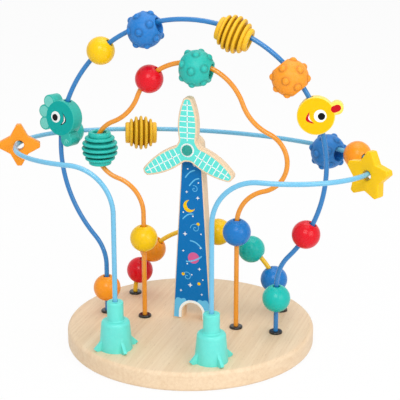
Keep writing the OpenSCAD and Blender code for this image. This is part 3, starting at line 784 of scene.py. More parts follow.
def wood(name, colours, grain):
    """Bare oiled beech with its grain along one way."""
    values = {"Pale": colours.beech, "Dark": colours.beech_dark, "Streaks": 0.6, "Flecks": 0.5}
    return finish(name, "Wood grain", values, bump=0.08 * MM, grain=grain, Specular_IOR_Level=0.35)


def lacquer(name, colour, mottle=0.04, gloss=0.27):
    """Glossy paint on turned wood."""
    values = {"Colour": colour, "Mottle": mottle, "Gloss": gloss}
    coat = {"Specular_IOR_Level": 0.22, "Coat_Weight": 0.12, "Coat_Roughness": 0.1}
    return finish(name, "Paint film", values, bump=0.006 * MM, **coat)


def enamel(name, colour):
    """Thin glossy coat on a wire."""
    values = {"Colour": colour, "Mottle": 0.05, "Gloss": 0.24}
    return finish(name, "Paint film", values, bump=0.006 * MM, Coat_Weight=0.3, Coat_Roughness=0.1)


def ink(name, colour, gloss=0.42):
    """Printed ink on smooth wood."""
    values = {"Colour": colour, "Mottle": 0.05, "Gloss": gloss}
    return finish(name, "Paint film", values, bump=0.015 * MM, Specular_IOR_Level=0.15)


def silicone(name, colour):
    """Matt soft rubber with a fine pebble, darkened by painted shade that the mesh marks in its grooves and
    round its nubs.
    """
    values = {"Colour": colour, "Bloom": 0.05, "Gloss": 0.46, "Nook": PAINTED_SHADE_ATTRIBUTE}
    return finish(name, "Soft skin", values, bump=0.012 * MM, Specular_IOR_Level=0.35)


def moulded(name, colour, gloss=0.38):
    """Satin moulded plastic."""
    values = {"Colour": colour, "Bloom": 0.05, "Gloss": gloss}
    return finish(name, "Soft skin", values, bump=0.01 * MM)


def metal(name, colour):
    """Plated steel."""
    values = {"Colour": colour, "Bloom": 0.04, "Gloss": 0.26}
    return finish(name, "Soft skin", values, bump=0.02 * MM, Metallic=1.0)


# Places of the wires and beads

class Bender:
    """Follows a wire from bend to bend and keeps the points of its middle line."""

    def __init__(self, start):
        self.place = start
        self.points = [start.translation.copy()]

    def straight(self, length):
        """Goes on straight."""
        self.place = self.place @ shift(length, 0, 0)
        self.points.append(self.place.translation.copy())

    def bend(self, radius, by, side=-1):
        """Goes on through a bend, to the right or to the left."""
        count = max(2, math.ceil(radius * by / PATH_STEP))
        start = self.place
        for i in range(1, count + 1):
            swing = spin("Z", side * by * i / count)
            out = shift(0, side * radius, 0)
            self.place = start @ out @ swing @ out.inverted()
            self.points.append(self.place.translation.copy())

    def roll(self, by):
        """Turns the plane of the next bend about the wire."""
        self.place = self.place @ spin("X", by)

    def both_sides(self):
        """The whole wire, whose left half mirrors its right half."""
        mirrored = [Vector((-p.x, p.y, p.z)) for p in self.points]
        return mirrored[:0:-1] + self.points


def upright(y, z):
    """The start of a wire at the top of an upright plane."""
    return shift(0, y, z) @ FACING


def loop_plane(wires):
    """The loop's own sloping plane, whose origin lies between the two bends."""
    return shift(0, wires.loop_foot_y, wires.loop_top) @ spin("X", -wires.loop_tilt)


def loop_middles(wires):
    """Middle of the loop's right side, the feet's distance and the back's middle, in the loop's plane."""
    spread = wires.loop_back_r - wires.loop_side_r
    across, along = math.sin(wires.loop_side_turn), math.cos(wires.loop_side_turn)
    side_x = wires.link / 2 + spread * across - wires.link * along
    back_y = wires.loop_side_r + spread * along + wires.link * across
    return side_x, side_x - wires.link - wires.loop_rise_r, back_y


def heading(at):
    """A step of one along an angle."""
    return Vector((math.cos(at), math.sin(at)))


def arch_foot(wires):
    """Distance of the arch's feet from the middle."""
    reach = wires.arch_r + wires.arch_foot_r
    bend = wires.arch_foot_turn
    return wires.link / 2 + reach * math.cos(bend) - wires.link * math.sin(bend) - wires.arch_foot_r


def wave_middles(wires):
    """Middles of the right bulge and of the bend above the foot."""
    w = wires
    dome_z = w.dome_top - w.dome_r
    high = QUARTER_TURN + w.waist_turn - w.dome_turn
    waist = Vector((w.link / 2, dome_z)) + (w.dome_r + w.waist_r) * heading(QUARTER_TURN - w.dome_turn)
    waist += w.link * heading(-w.dome_turn)
    bulge = waist - (w.waist_r + w.bulge_r) * heading(high) + w.link * heading(high - QUARTER_TURN)
    bend = bulge + (w.bulge_r + w.wave_foot_r) * heading(-w.wave_foot_turn)
    bend += w.link * heading(-QUARTER_TURN - w.wave_foot_turn)
    return bulge, bend


def on_arc(x, y, z, radius, at):
    """A bead's place on an upright arc, with its bore along the wire."""
    swing = spin("Y", QUARTER_TURN - at)
    return shift(x, y, z) @ swing @ shift(0, 0, radius)


def to_left(matrix):
    """The same place on the left side."""
    mirror = Matrix.Diagonal((-1, 1, 1, 1))
    return mirror @ matrix @ mirror


def bow(length, radius):
    """Half of the height by which an arc bows over a straight bore."""
    return length * length / (16 * radius)


def bead_places(scene):
    """The place of every bead, by the name of its node."""
    w, b, p, board = scene.maze_wires, scene.maze_beads, scene.maze_places, scene.maze_board
    knob_hang = (b.knob_hole - w.thickness) / 2 - b.play
    rib_hang = (b.rib_hole - w.thickness) / 2 - b.play
    star_hang = (b.star_hole - w.thickness) / 2 - 2 * b.play
    ball, knob, rib, flat = b.ball_length, b.knob_length, b.rib_length, b.flat
    places = {}

    arch_z = w.arch_top - w.arch_r

    def on_arch(at, depth):
        return on_arc(0, w.arch_y, arch_z, w.arch_r - depth, at)

    ribbed = QUARTER_TURN - (p.arch_ribbed + rib / 2) / w.arch_r
    orange_knob = ribbed - (rib / 2 + p.arch_orange_knob + knob / 2) / w.arch_r
    chick = orange_knob - (knob / 2 + p.arch_chick + flat / 2) / w.arch_r
    red = chick - (flat / 2 + p.arch_red + ball / 2) / w.arch_r
    blue_knob = QUARTER_TURN + (p.arch_blue_knob + knob / 2) / w.arch_r
    yellow = blue_knob + (knob / 2 + p.arch_yellow + ball / 2) / w.arch_r
    fish = yellow + (ball / 2 + p.arch_fish + flat / 2) / w.arch_r
    places["arch_yellow_ribbed_bead"] = on_arch(ribbed, rib_hang)
    places["arch_orange_knobbly_bead"] = on_arch(orange_knob, knob_hang)
    places["arch_chick_bead"] = on_arch(chick, bow(flat, w.arch_r)) @ spin("X", -b.chick_turn)
    places["arch_red_bead"] = on_arch(red, bow(ball, w.arch_r))
    places["arch_blue_knobbly_bead"] = on_arch(blue_knob, knob_hang)
    places["arch_yellow_bead"] = on_arch(yellow, bow(ball, w.arch_r))
    places["arch_fish_bead"] = on_arch(fish, bow(flat, w.arch_r)) @ spin("X", -b.fish_turn)

    def on_leg(x, y, lift):
        z = board.thickness + board.collar_height + lift + ball / 2
        return shift(x, y, z) @ BORE

    foot_x = arch_foot(w)
    bulge, bend = wave_middles(w)
    wave_x = bend.x - w.wave_foot_r
    places["arch_orange_bead"] = on_leg(-foot_x, w.arch_y, p.arch_orange)
    places["arch_green_bead"] = on_leg(foot_x, w.arch_y, p.arch_green)
    places["wave_yellow_bead"] = on_leg(-wave_x, w.wave_y, p.wave_yellow)
    places["wave_blue_bead"] = on_leg(wave_x, w.wave_y, p.wave_blue)

    dome_z = w.dome_top - w.dome_r
    dome_knob = QUARTER_TURN - p.wave_knob / w.dome_r
    dome_red = dome_knob + (knob / 2 + p.wave_red + ball / 2) / w.dome_r
    places["wave_teal_knobbly_bead"] = on_arc(0, w.wave_y, dome_z, w.dome_r - knob_hang, dome_knob)
    places["wave_red_bead"] = on_arc(0, w.wave_y, dome_z, w.dome_r - bow(ball, w.dome_r), dome_red)
    places["wave_teal_ribbed_bead"] = on_arc(-bulge.x, w.wave_y, bulge.y, w.bulge_r - rib_hang, HALF_TURN)

    low_yellow = QUARTER_TURN - p.low_yellow / w.low_r
    low_green = low_yellow - (ball + p.low_green) / w.low_r
    low_orange = low_yellow + (ball + p.low_orange) / w.low_r
    low_angles = {
        "low_yellow_bead": low_yellow,
        "low_green_bead": low_green,
        "low_blue_bead": low_green - (ball + p.low_blue) / w.low_r,
        "low_orange_bead": low_orange,
        "low_red_bead": low_orange + (ball + p.low_red) / w.low_r,
    }
    for name, at in low_angles.items():
        places[name] = on_arc(0, w.low_y, board.thickness, w.low_r - bow(ball, w.low_r), at)

    side_x, _, back_y = loop_middles(w)
    plane = loop_plane(w)

    def on_side(at, depth, drop):
        swing = spin("Z", at)
        middle = shift(side_x, w.loop_side_r, -drop)
        return plane @ middle @ swing @ shift(0, depth - w.loop_side_r, 0)

    def on_back(at, drop):
        swing = spin("Z", -at)
        return plane @ shift(0, back_y, -drop) @ swing @ shift(0, w.loop_back_r, 0)

    star = (p.loop_star + b.star_thickness / 2) / w.loop_side_r
    bead = star + (b.star_thickness / 2 + p.loop_bead + ball / 2) / w.loop_side_r
    lean = spin("Z", -b.star_lean)
    places["loop_yellow_star"] = on_side(star, 0, star_hang) @ lean
    places["loop_orange_star"] = to_left(on_side(star, 0, star_hang) @ lean)
    places["loop_orange_bead"] = on_side(bead, bow(ball, w.loop_side_r), 0)
    places["loop_green_bead"] = to_left(on_side(bead, bow(ball, w.loop_side_r), 0))
    places["loop_yellow_ribbed_bead"] = to_left(on_back((p.loop_ribbed + rib / 2) / w.loop_back_r, rib_hang))
    knob_at = HALF_TURN - w.loop_side_turn - (p.loop_knob + knob / 2) / w.loop_back_r
    places["loop_blue_knobbly_bead"] = on_back(knob_at, knob_hang)
    return places


def wire_feet(scene):
    """Places of the six wire feet in the board."""
    w = scene.maze_wires
    bend = wave_middles(w)[1]
    feet = [(arch_foot(w), w.arch_y), (bend.x - w.wave_foot_r, w.wave_y), (w.link / 2 + w.low_r, w.low_y)]
    return [(side * x, y) for x, y in feet for side in (-1, 1)]


def tower_screw_spots(scene):
    """Places of the tower's two screws under the board."""
    tower = scene.maze_tower
    x = (tower.foot + tower.door) / 4
    return [(side * x, tower.front_y + tower.thickness / 2) for side in (-1, 1)]


def socket_screw_spots(scene):
    """Places of the sockets' four screws under the board."""
    foot_x = loop_middles(scene.maze_wires)[1]
    aside, y = scene.maze_sockets.screw_x, scene.maze_wires.loop_foot_y
    return [(side * foot_x + way * aside, y) for side in (-1, 1) for way in (-1, 1)]


# Pieces

# Sides of the small turned pieces and holes, and the steps of the tower's round head and doorway
RING_SIDES = 56
HOLE_SIDES = 40
ARCH_STEPS = 33


def board_shape(scene):
    """The round board with rounded edges, and a recess for each screw in its underside."""
    board = scene.maze_board
    radius, edge, top = board.width / 2, board.edge, board.thickness
    sides, edge_steps = 240, 10
    rim = radius - edge
    profile = [(rim * share, top) for share in (0.0, 0.25, 0.5, 0.75)]
    profile += arc((rim, top - edge), edge, QUARTER_TURN, 0.0, edge_steps)
    profile += arc((rim, edge), edge, 0.0, -QUARTER_TURN, edge_steps)
    shape = Shape(turned(profile, sides, closed=False))
    pocket_r = board.screw_head / 2 + board.screw_recess
    depth = board.screw_recess + board.screw_head_height
    spots = tower_screw_spots(scene) + socket_screw_spots(scene)
    pockets = [circle(pocket_r, HOLE_SIDES, spot)[::-1] for spot in spots]
    loops = [[Vector((x, y, 0)) for x, y in loop] for loop in [circle(rim, sides), *pockets]]
    corners = [corner for loop in loops for corner in loop]
    shape.add((corners, tessellate_polygon(loops)))
    wall = [(pocket_r, 0.0), (pocket_r, depth), (0.0, depth)]
    for x, y in spots:
        shape.add(turned(wall, HOLE_SIDES, closed=False), shift(x, y, 0))
    return shape


def screw_shell(board):
    """A screw's head with a cross in it, and a short neck above it."""
    head_r, height = board.screw_head / 2, board.screw_head_height
    core_r, neck_r, edge = 0.93 * head_r, 0.45 * head_r, 0.08 * head_r
    slot_half, slot_reach, slot_floor = 0.22 * head_r, 0.54 * head_r, 0.4 * height
    neck_top, sides = 2 * height, 48
    cross = []
    for i in range(4):
        turn_to = Matrix.Rotation(-QUARTER_TURN * i, 2)
        for corner in ((-slot_half, slot_reach), (slot_half, slot_reach), (slot_half, slot_half)):
            cross.append(tuple(turn_to @ Vector(corner)))
    cup = slab([circle(head_r, sides), cross], height / 2, edge)
    shape = Shape(cup, shift(0, 0, height / 4))
    inner = [(0.0, slot_floor), (core_r, slot_floor), (core_r, height)]
    inner += [(neck_r, height), (neck_r, neck_top), (0.0, neck_top)]
    shape.add(turned(inner, sides, closed=False))
    return shape.points, shape.faces


def collar_profile(board, wires):
    """The rounded black collar round a wire's foot."""
    outer, height = board.collar_width / 2, board.collar_height
    inner = wires.thickness / 2 + SNUG
    edge = 0.45 * height
    lip, lip_steps, level_from = 0.5 * edge, 5, inner + 1.6 * edge
    profile = [(inner, 0.0), (outer, 0.0), (outer, height - edge)]
    profile += arc((outer - edge, height - edge), edge, 0.0, QUARTER_TURN, ROUND_STEPS)[1:]
    profile += [(level_from, height)]
    profile += arc((inner + lip, height - lip), lip, QUARTER_TURN, HALF_TURN, lip_steps)
    return profile


def wire_paths(scene):
    """The middle line of each wire, by the name of its node."""
    w, board, sockets = scene.maze_wires, scene.maze_board, scene.maze_sockets
    bottom = board.thickness - w.seat

    def started(place):
        bender = Bender(place)
        bender.straight(w.link / 2)
        return bender

    def ended(bender, low):
        bender.straight(w.link)
        bender.straight(bender.points[-1].z - low)
        return bender.both_sides()

    arch = started(upright(w.arch_y, w.arch_top))
    arch.bend(w.arch_r, QUARTER_TURN + w.arch_foot_turn)
    arch.straight(w.link)
    arch.bend(w.arch_foot_r, w.arch_foot_turn, 1)

    wave = started(upright(w.wave_y, w.dome_top))
    wave.bend(w.dome_r, w.dome_turn)
    wave.straight(w.link)
    wave.bend(w.waist_r, w.waist_turn, 1)
    wave.straight(w.link)
    wave.bend(w.bulge_r, QUARTER_TURN + w.waist_turn - w.dome_turn + w.wave_foot_turn)
    wave.straight(w.link)
    wave.bend(w.wave_foot_r, w.wave_foot_turn, 1)

    low = started(upright(w.low_y, board.thickness + w.low_r))
    low.bend(w.low_r, QUARTER_TURN)

    back_y = loop_middles(w)[2]
    loop = started(loop_plane(w) @ shift(0, back_y + w.loop_back_r, 0))
    loop.bend(w.loop_back_r, HALF_TURN - w.loop_side_turn)
    loop.straight(w.link)
    loop.bend(w.loop_side_r, w.loop_side_turn)
    loop.straight(w.link)
    loop.roll(QUARTER_TURN - w.loop_tilt)
    loop.bend(w.loop_rise_r, QUARTER_TURN)
    return {
        "arch_wire": ended(arch, bottom),
        "wave_wire": ended(wave, bottom),
        "low_wire": ended(low, bottom),
        "loop_wire": ended(loop, board.thickness + sockets.floor),
    }


def socket_shell(sockets, wire_r):
    """A tapered body with a neck, and fins that grow out of its foot."""
    foot_r, shoulder_r, neck_r = sockets.foot / 2, sockets.shoulder / 2, sockets.neck / 2
    body, top = sockets.body_height, sockets.body_height + sockets.neck_height
    soft, lip = 2.2 * MM, 1.1 * MM
    mouth_r, bore_r, chamfer, depth = wire_r + 0.6 * MM, wire_r + 0.1 * MM, 0.5 * MM, 6 * MM
    body_steps, soft_steps, neck_steps, fin_steps = 34, 8, 5, 49
    profile = [(0.0, 0.0)]
    profile += [(foot_r + (shoulder_r - foot_r) * z / body, z) for z in spaced(0.0, body - soft, body_steps)]
    profile += arc((shoulder_r - soft, body - soft), soft, 0.0, QUARTER_TURN, soft_steps)[1:]
    profile += arc((neck_r + lip, body + lip), lip, -QUARTER_TURN, -HALF_TURN, ROUND_STEPS)
    profile += [(neck_r, z) for z in spaced(body + lip, top - lip, neck_steps)[1:]]
    profile += arc((neck_r - lip, top - lip), lip, 0.0, QUARTER_TURN, ROUND_STEPS)[1:]
    profile += [(mouth_r, top), (bore_r, top - chamfer), (bore_r, top - depth), (0.0, top - depth)]
    quadrant, crowding = FULL_TURN / sockets.fin_count, 1.7
    shares = spaced(-1.0, 1.0, fin_steps)[:-1]
    near = [math.copysign(abs(share) ** crowding, share) * quadrant / 2 for share in shares]
    bearings = [(i + 0.5) * quadrant + offset for i in range(sockets.fin_count) for offset in near]
    reach_top = (foot_r + shoulder_r) / 2
    tip_z, foot_share = 0.22 * sockets.fin_height, 0.6
    fin_top, blend, least_sine = sockets.fin_height + 2 * MM, 1.8 * MM, 0.001

    def fin_reach(z):
        if z < tip_z:
            return foot_r + sockets.fin_reach * (foot_share + (1 - foot_share) * z / tip_z)
        share = min((z - tip_z) / (sockets.fin_height - tip_z), 1.0)
        return foot_r + sockets.fin_reach + (reach_top - foot_r - sockets.fin_reach) * share

    points = []
    for radius, z in profile:
        for bearing in bearings:
            off = (bearing + quadrant) % quadrant - quadrant / 2
            out = radius
            if z < fin_top and radius > neck_r + lip:
                blade = min(fin_reach(z), sockets.fin_thickness / 2 / max(abs(math.sin(off)), least_sine))
                out = smooth_max(radius, blade, blend)
            points.append((out * math.cos(bearing), out * math.sin(bearing), z))
    return points, ring_faces(len(profile), len(bearings))


def tower_outline(scene, margin=0.0):
    """The tapered tower with a round head and an arched doorway, set in by a margin."""
    tower, ground = scene.maze_tower, scene.maze_board.thickness
    foot, head, door = tower.foot / 2 - margin, tower.head / 2 - margin, tower.door / 2 + margin
    bottom = ground + margin
    arch_z = ground + tower.door_height - tower.door / 2
    outline = [(foot, bottom)]
    outline += arc((0.0, tower.axle_z), head, 0.0, HALF_TURN, ARCH_STEPS)
    outline += [(-foot, bottom), (-door, bottom)]
    outline += arc((0.0, arch_z), door, HALF_TURN, 0.0, ARCH_STEPS)
    outline += [(door, bottom)]
    return outline


def blade_edge(tower, off):
    """Distance from the axle to a blade's edge, along a line that lies off the blade's middle by an angle."""
    tip_at = tower.blade_reach - tower.blade_tip_r
    side_x = tower.blade_side_r - tower.blade_width / 2

    def inside(radius):
        x, y = radius * abs(math.sin(off)), radius * math.cos(off)
        if y < 0.0:
            return False
        if y > tip_at and math.hypot(x, y - tip_at) > tower.blade_tip_r:
            return False
        return math.hypot(x + side_x, y - tower.blade_widest) < tower.blade_side_r

    low, high, halvings = 0.0, tower.blade_reach, 30
    for _ in range(halvings):
        middle = (low + high) / 2
        if inside(middle):
            low = middle
        else:
            high = middle
    return low


def propeller_outline(tower, count=480):
    """Hub and blades as one outline with soft corners between the blades."""
    step, blend = FULL_TURN / tower.blade_count, 2.5 * MM
    outline = []
    for i in range(count):
        bearing = FULL_TURN * i / count
        off = (bearing - QUARTER_TURN + step / 2) % step - step / 2
        reach = smooth_max(tower.hub / 2, blade_edge(tower, off), blend)
        reach = min(reach, tower.blade_reach)
        outline.append((reach * math.cos(bearing), reach * math.sin(bearing)))
    return outline


def bored_profile(ball_r, hole_r, lip_r, count=64):
    """Half of a ball with a hole, whose mouths have rounded lips."""
    lip_out, lip_steps = hole_r + lip_r, 9
    lip_at = math.sqrt((ball_r - lip_r) ** 2 - lip_out**2)
    meet = math.atan2(lip_out, lip_at)

    def swing(radius, middle, height, start, end, steps):
        bearings = spaced(start, end, steps)
        return [(middle + radius * math.sin(at), height + radius * math.cos(at)) for at in bearings]

    profile = swing(ball_r, 0.0, 0.0, meet, HALF_TURN - meet, count)
    profile += swing(lip_r, lip_out, -lip_at, HALF_TURN - meet, 3 * QUARTER_TURN, lip_steps)[1:]
    profile += [(hole_r, lip_at * share) for share in (-0.5, 0.0, 0.5)]
    profile += swing(lip_r, lip_out, lip_at, -QUARTER_TURN, meet, lip_steps)[:-1]
    return profile


def knobbly_shape(beads):
    """A bored ball whose skin swells into rows of round nubs, with painted shade in a ring round each nub's
    foot.
    """
    ball_r, nub_r = beads.knob / 2, beads.nub / 2
    lip_r, blend, steps, sides = 0.9 * MM, 0.7 * MM, 132, 224
    shade, shade_outside, shade_inside = 0.5, 0.07, 0.04
    rows, row_lift = (5, 6, 5), math.radians(40)
    points, faces = turned(bored_profile(ball_r, beads.knob_hole / 2, lip_r, steps), sides)
    nub_at = ball_r - nub_r + beads.nub_rise
    nubs = []
    for row, count in enumerate(rows):
        lift = row_lift * (row - 1)
        for i in range(count):
            bearing = FULL_TURN * (i + row / 2) / count
            flat = -math.cos(lift)
            nubs.append(Vector((flat * math.cos(bearing), flat * math.sin(bearing), math.sin(lift))))
    foot = math.acos((ball_r**2 + nub_at**2 - nub_r**2) / (2 * ball_r * nub_at))
    swollen, painted_shades = [], []
    for point in points:
        spot = Vector(point)
        reach = spot.length
        nook = 0.0
        if reach > ball_r - SNUG:
            facing = spot / reach
            for nub in nubs:
                cosine = facing.dot(nub)
                sine_sq = 1.0 - cosine * cosine
                # Painted shade: a dark ring at the nub's foot that fades outward and inward
                off = math.acos(min(cosine, 1.0)) - foot
                fade = shade_outside if off > 0.0 else shade_inside
                nook = max(nook, shade * math.exp(-((off / fade) ** 2)))
                if cosine > 0.0 and nub_r * nub_r > nub_at * nub_at * sine_sq:
                    rise = nub_at * cosine + math.sqrt(nub_r * nub_r - nub_at * nub_at * sine_sq)
                    reach = smooth_max(reach, rise, blend)
            reach = min(reach, ball_r + beads.nub_rise)
            spot = facing * reach
        swollen.append(spot)
        painted_shades.append(nook)
    shape = Shape((swollen, faces), BORE)
    shape.painted_shades = painted_shades
    return shape


def ribbed_shape(beads, sides=128):
    """Round ribs on a barrel, with a collar and a rounded mouth at each end, and painted shade in the grooves
    between the ribs.
    """
    half, hole_r, collar_r = beads.rib_length / 2, beads.rib_hole / 2, beads.collar / 2
    pitch = (beads.rib_length - 2 * beads.collar_length) / beads.rib_count
    deep, mouth, rim, gap = 3.4 * MM, 1.0 * MM, 1.6 * MM, 0.2 * MM
    fullness, half_rib, rib_steps = 0.77, 0.34 * pitch, 27
    shade, shade_from = 0.75, 0.15
    end = half - beads.collar_length
    profile = arc((hole_r + mouth, half - mouth), mouth, HALF_TURN, QUARTER_TURN, ROUND_STEPS)
    profile += arc((collar_r - rim, half - rim), rim, QUARTER_TURN, 0.0, ROUND_STEPS)
    profile += [(collar_r, end + gap)]
    ribs = []
    for i in range(beads.rib_count):
        at = ((beads.rib_count - 1) / 2 - i) * pitch
        reach = math.sqrt((beads.rib / 2) ** 2 - at * at)
        for turn_by in spaced(0.0, HALF_TURN, rib_steps):
            swell = abs(math.sin(turn_by)) ** fullness
            across = math.copysign(abs(math.cos(turn_by)) ** fullness, math.cos(turn_by))
            ribs.append((reach - deep + deep * swell, at + across * half_rib))
    profile += ribs
    below = [(radius, -height) for radius, height in profile[: len(profile) - len(ribs)]]
    profile += below[::-1]
    shape = Shape(turned(profile, sides), BORE)
    # Painted shade: darker the deeper the skin sinks between the ribs, and none on the collars
    for radius, height in profile:
        sunk = math.sqrt((beads.rib / 2) ** 2 - height * height) - radius
        nook = 0.0
        if abs(height) < end:
            nook = shade * min(max(sunk / deep - shade_from, 0.0) / (1 - shade_from), 1.0)
        shape.painted_shades += [nook] * sides
    return shape


def star_outline(points, tip_r, waist_share, tip_width, turn_by=0.0):
    """A star with blunt, softened tips."""
    step, corner_r = FULL_TURN / points, 1.3 * MM
    corners = []
    for i in range(points):
        at = i * step + turn_by
        tip = tip_r * heading(at)
        corners.append(tuple(tip + tip_width / 2 * heading(at - QUARTER_TURN)))
        corners.append(tuple(tip + tip_width / 2 * heading(at + QUARTER_TURN)))
        corners.append(tuple(tip_r * waist_share * heading(at + step / 2)))
    return rounded(corners, corner_r, ROUND_STEPS)


def lobed_outline(disc_r, lobes, count=360):
    """A round disc with round lobes. A lobe has its bearing from the top, its distance and its radius."""
    outline = []
    for i in range(count):
        at = FULL_TURN * i / count
        reach = disc_r
        for bearing, distance, radius in lobes:
            off = at - (QUARTER_TURN - bearing)
            inside = radius * radius - (distance * math.sin(off)) ** 2
            if math.cos(off) > 0.0 and inside > 0.0:
                reach = max(reach, distance * math.cos(off) + math.sqrt(inside))
        outline.append((reach * math.cos(at), reach * math.sin(at)))
    return outline


def print_layer(name, outlines, coat, plane, lift, body=STATIC_BODY, holes=()):
    """Thin printed shapes on a flat face. The plane's Z looks out of that face."""
    shape = Shape()
    for i, outline in enumerate(outlines):
        loops = [outline, *(holes if i == 0 else ())]
        shape.add(slab(loops, FILM, FILM_EDGE, steps=2))
    return make_piece(name, shape, coat, body, plane @ shift(0, 0, lift - FILM / 2))


# Motifs of the tower's print

# Drifts of haze by height, start and end across and rise, and swirls by height, place, radius and turns
HAZE_DRIFTS = ((150, -0.62, 0.3, 7), (143, -0.2, 0.72, 7), (112, -0.7, 0.1, 5), (92, -0.1, 0.7, -6))
HAZE_SWIRLS = ((104, 0.28, 4.6, 1.5), (58, -0.3, 4.4, 1.4), (140, 0.25, 3.4, 1.3))

# The planet, the moon, round lamps and dots by place across and height, and stars by place, height and radius
PLANET = (0.12, 76 * MM)
MOON = (-0.2, 124 * MM)
LAMPS = ((0.5, 108), (-0.55, 60), (0.45, 52))
DOTS = ((-0.4, 158), (0.66, 146), (0.1, 115), (-0.7, 118), (0.7, 99), (-0.3, 70), (0.0, 60), (0.7, 56))
STARS = (
    (0.3, 162, 2.6),
    (-0.45, 137, 1.8),
    (0.55, 132, 2.4),
    (-0.5, 98, 2.8),
    (0.62, 86, 1.6),
    (-0.6, 82, 1.7),
    (0.5, 66, 2.2),
    (-0.1, 50, 3.0),
    (-0.66, 44, 1.8),
    (0.6, 42, 1.6),
)


def crescent(middle, radius, lean):
    """A thin moon."""
    bite, aside = 0.82 * radius, 0.45 * radius
    outer_steps, inner_steps = 34, 26
    cross = (radius * radius - bite * bite + aside * aside) / (2 * aside)
    open_out = math.acos(cross / radius)
    open_in = math.acos((cross - aside) / bite)
    outer = arc((0.0, 0.0), radius, open_out, FULL_TURN - open_out, outer_steps)
    inner = arc((aside, 0.0), bite, FULL_TURN - open_in, open_in, inner_steps)
    turn_to = Matrix.Rotation(lean, 2)
    return [tuple(Vector(middle) + turn_to @ Vector(p)) for p in outer + inner[1:-1]]


def sparkle(middle, radius):
    """A star with four thin points."""
    waist_r, corner_r, corner_steps = 0.24 * radius, 0.08 * radius, 3
    corners = []
    for i in range(4):
        corners.append(tuple(Vector(middle) + radius * heading(i * QUARTER_TURN)))
        corners.append(tuple(Vector(middle) + waist_r * heading((i + 0.5) * QUARTER_TURN)))
    return rounded(corners, corner_r, corner_steps)


def cloud_bank(spot, bottom, arch_z, door_r, way):
    """A bank of cloud beside the doorway, with a scalloped top, given by its places across and heights."""
    scallop, scallop_steps, arch_steps, gap = 0.32, 10, 16, 0.5 * MM
    tops = ((1.0, 15.5), (0.62, 18), (0.3, 16.2))
    corners = [Vector(spot(share, bottom + rise * MM)) for share, rise in tops]
    corners.append(Vector((gap, arch_z + door_r)))
    outline = [Vector(spot(1.0, bottom))]
    for first, last in zip(corners, corners[1:]):
        across = Vector((last.y - first.y, first.x - last.x)) * scallop
        shares = spaced(0.0, 1.0, scallop_steps)[:-1]
        outline += [first.lerp(last, share) + across * math.sin(HALF_TURN * share) for share in shares]
    outline += [Vector(p) for p in arc((0.0, arch_z), door_r, QUARTER_TURN, 0.0, arch_steps)]
    outline.append(Vector((door_r, bottom)))
    return [(way * p.x, p.y) for p in outline][::way]


def tower_prints(scene, face, suffix, finishes):
    """A night sky: a moon, a planet with a ring, stars, drifting haze and a white band round the doorway."""
    tower, ground = scene.maze_tower, scene.maze_board.thickness
    step, margin = 0.05 * MM, 0.9 * MM
    band_width, band_gap, bank_gap = 2.4 * MM, 0.1 * MM, 1.3 * MM
    print_layer("tower_sky_" + suffix, [tower_outline(scene, margin)], finishes["night"], face, step)
    width_at = (tower.foot - tower.head) / (tower.axle_z - ground)

    def spot(share_across, z):
        half = (tower.foot - (z - ground) * width_at) / 2 - margin
        return (share_across * half, z)

    arch_z = ground + tower.door_height - tower.door / 2
    door_r = tower.door / 2 + margin
    bottom, band_r, inner_r = ground + margin, door_r + band_width, door_r + band_gap
    band = [(band_r, bottom), *arc((0.0, arch_z), band_r, 0.0, HALF_TURN, ARCH_STEPS), (-band_r, bottom)]
    band.append((-inner_r, bottom))
    band += arc((0.0, arch_z), inner_r, HALF_TURN, 0.0, ARCH_STEPS)
    band.append((inner_r, bottom))

    haze = []
    sag, drift_width, drift_steps = Vector((0.0, 1.6 * MM)), 1.1 * MM, 12
    for z, start, end, rise in HAZE_DRIFTS:
        first = Vector(spot(start, z * MM))
        last = Vector(spot(end, (z + rise) * MM))
        shares = spaced(0.0, 1.0, drift_steps)
        line = [first.lerp(last, share) + sag * math.sin(HALF_TURN * share) for share in shares]
        haze.append(stroke(line, drift_width))
    banks = [cloud_bank(spot, bottom, arch_z, door_r + bank_gap, way) for way in (1, -1)]
    swirl_start, swirl_steps, swirl_width = 0.12, 40, 0.55 * MM
    for z, place, radius, turns in HAZE_SWIRLS:
        shares = spaced(swirl_start, 1.0, swirl_steps)
        swirl = [radius * MM * share * heading(FULL_TURN * turns * share) for share in shares]
        haze.append(stroke([Vector(spot(place, z * MM)) + p for p in swirl], swirl_width))
    print_layer("tower_haze_" + suffix, banks + haze, finishes["haze"], face, 2 * step)

    planet = spot(*PLANET)
    planet_r, ring_long, ring_short, ring_width = 5.2 * MM, 8.2 * MM, 2.2 * MM, 1.2 * MM
    ring_tilt, ring_start, ring_end, ring_steps = Matrix.Rotation(0.4, 2), -2.75, -0.4, 24
    ring = []
    for at in spaced(ring_start, ring_end, ring_steps):
        out = Vector((ring_long * math.cos(at), ring_short * math.sin(at)))
        ring.append(tuple(Vector(planet) + ring_tilt @ out))
    disc = circle(planet_r, HOLE_SIDES, planet)
    print_layer("tower_planet_" + suffix, [disc], finishes["rose"], face, 2 * step)
    print_layer("tower_planet_ring_" + suffix, [stroke(ring, ring_width)], finishes["haze"], face, 3 * step)

    moon_r, moon_lean, lamp_r, lamp_sides = 5.6 * MM, 0.6, 1.5 * MM, 24
    moon = crescent(spot(*MOON), moon_r, moon_lean)
    lamps = [circle(lamp_r, lamp_sides, spot(place, z * MM)) for place, z in LAMPS]
    print_layer("tower_moon_" + suffix, [moon, *lamps], finishes["yellow"], face, 2 * step)

    dot_r, dot_sides = 0.65 * MM, 16
    stars = [sparkle(spot(place, z * MM), radius * MM) for place, z, radius in STARS]
    dots = [circle(dot_r, dot_sides, spot(place, z * MM)) for place, z in DOTS]
    print_layer("tower_stars_" + suffix, [band, *stars, *dots], finishes["white"], face, 3 * step)


# Operators

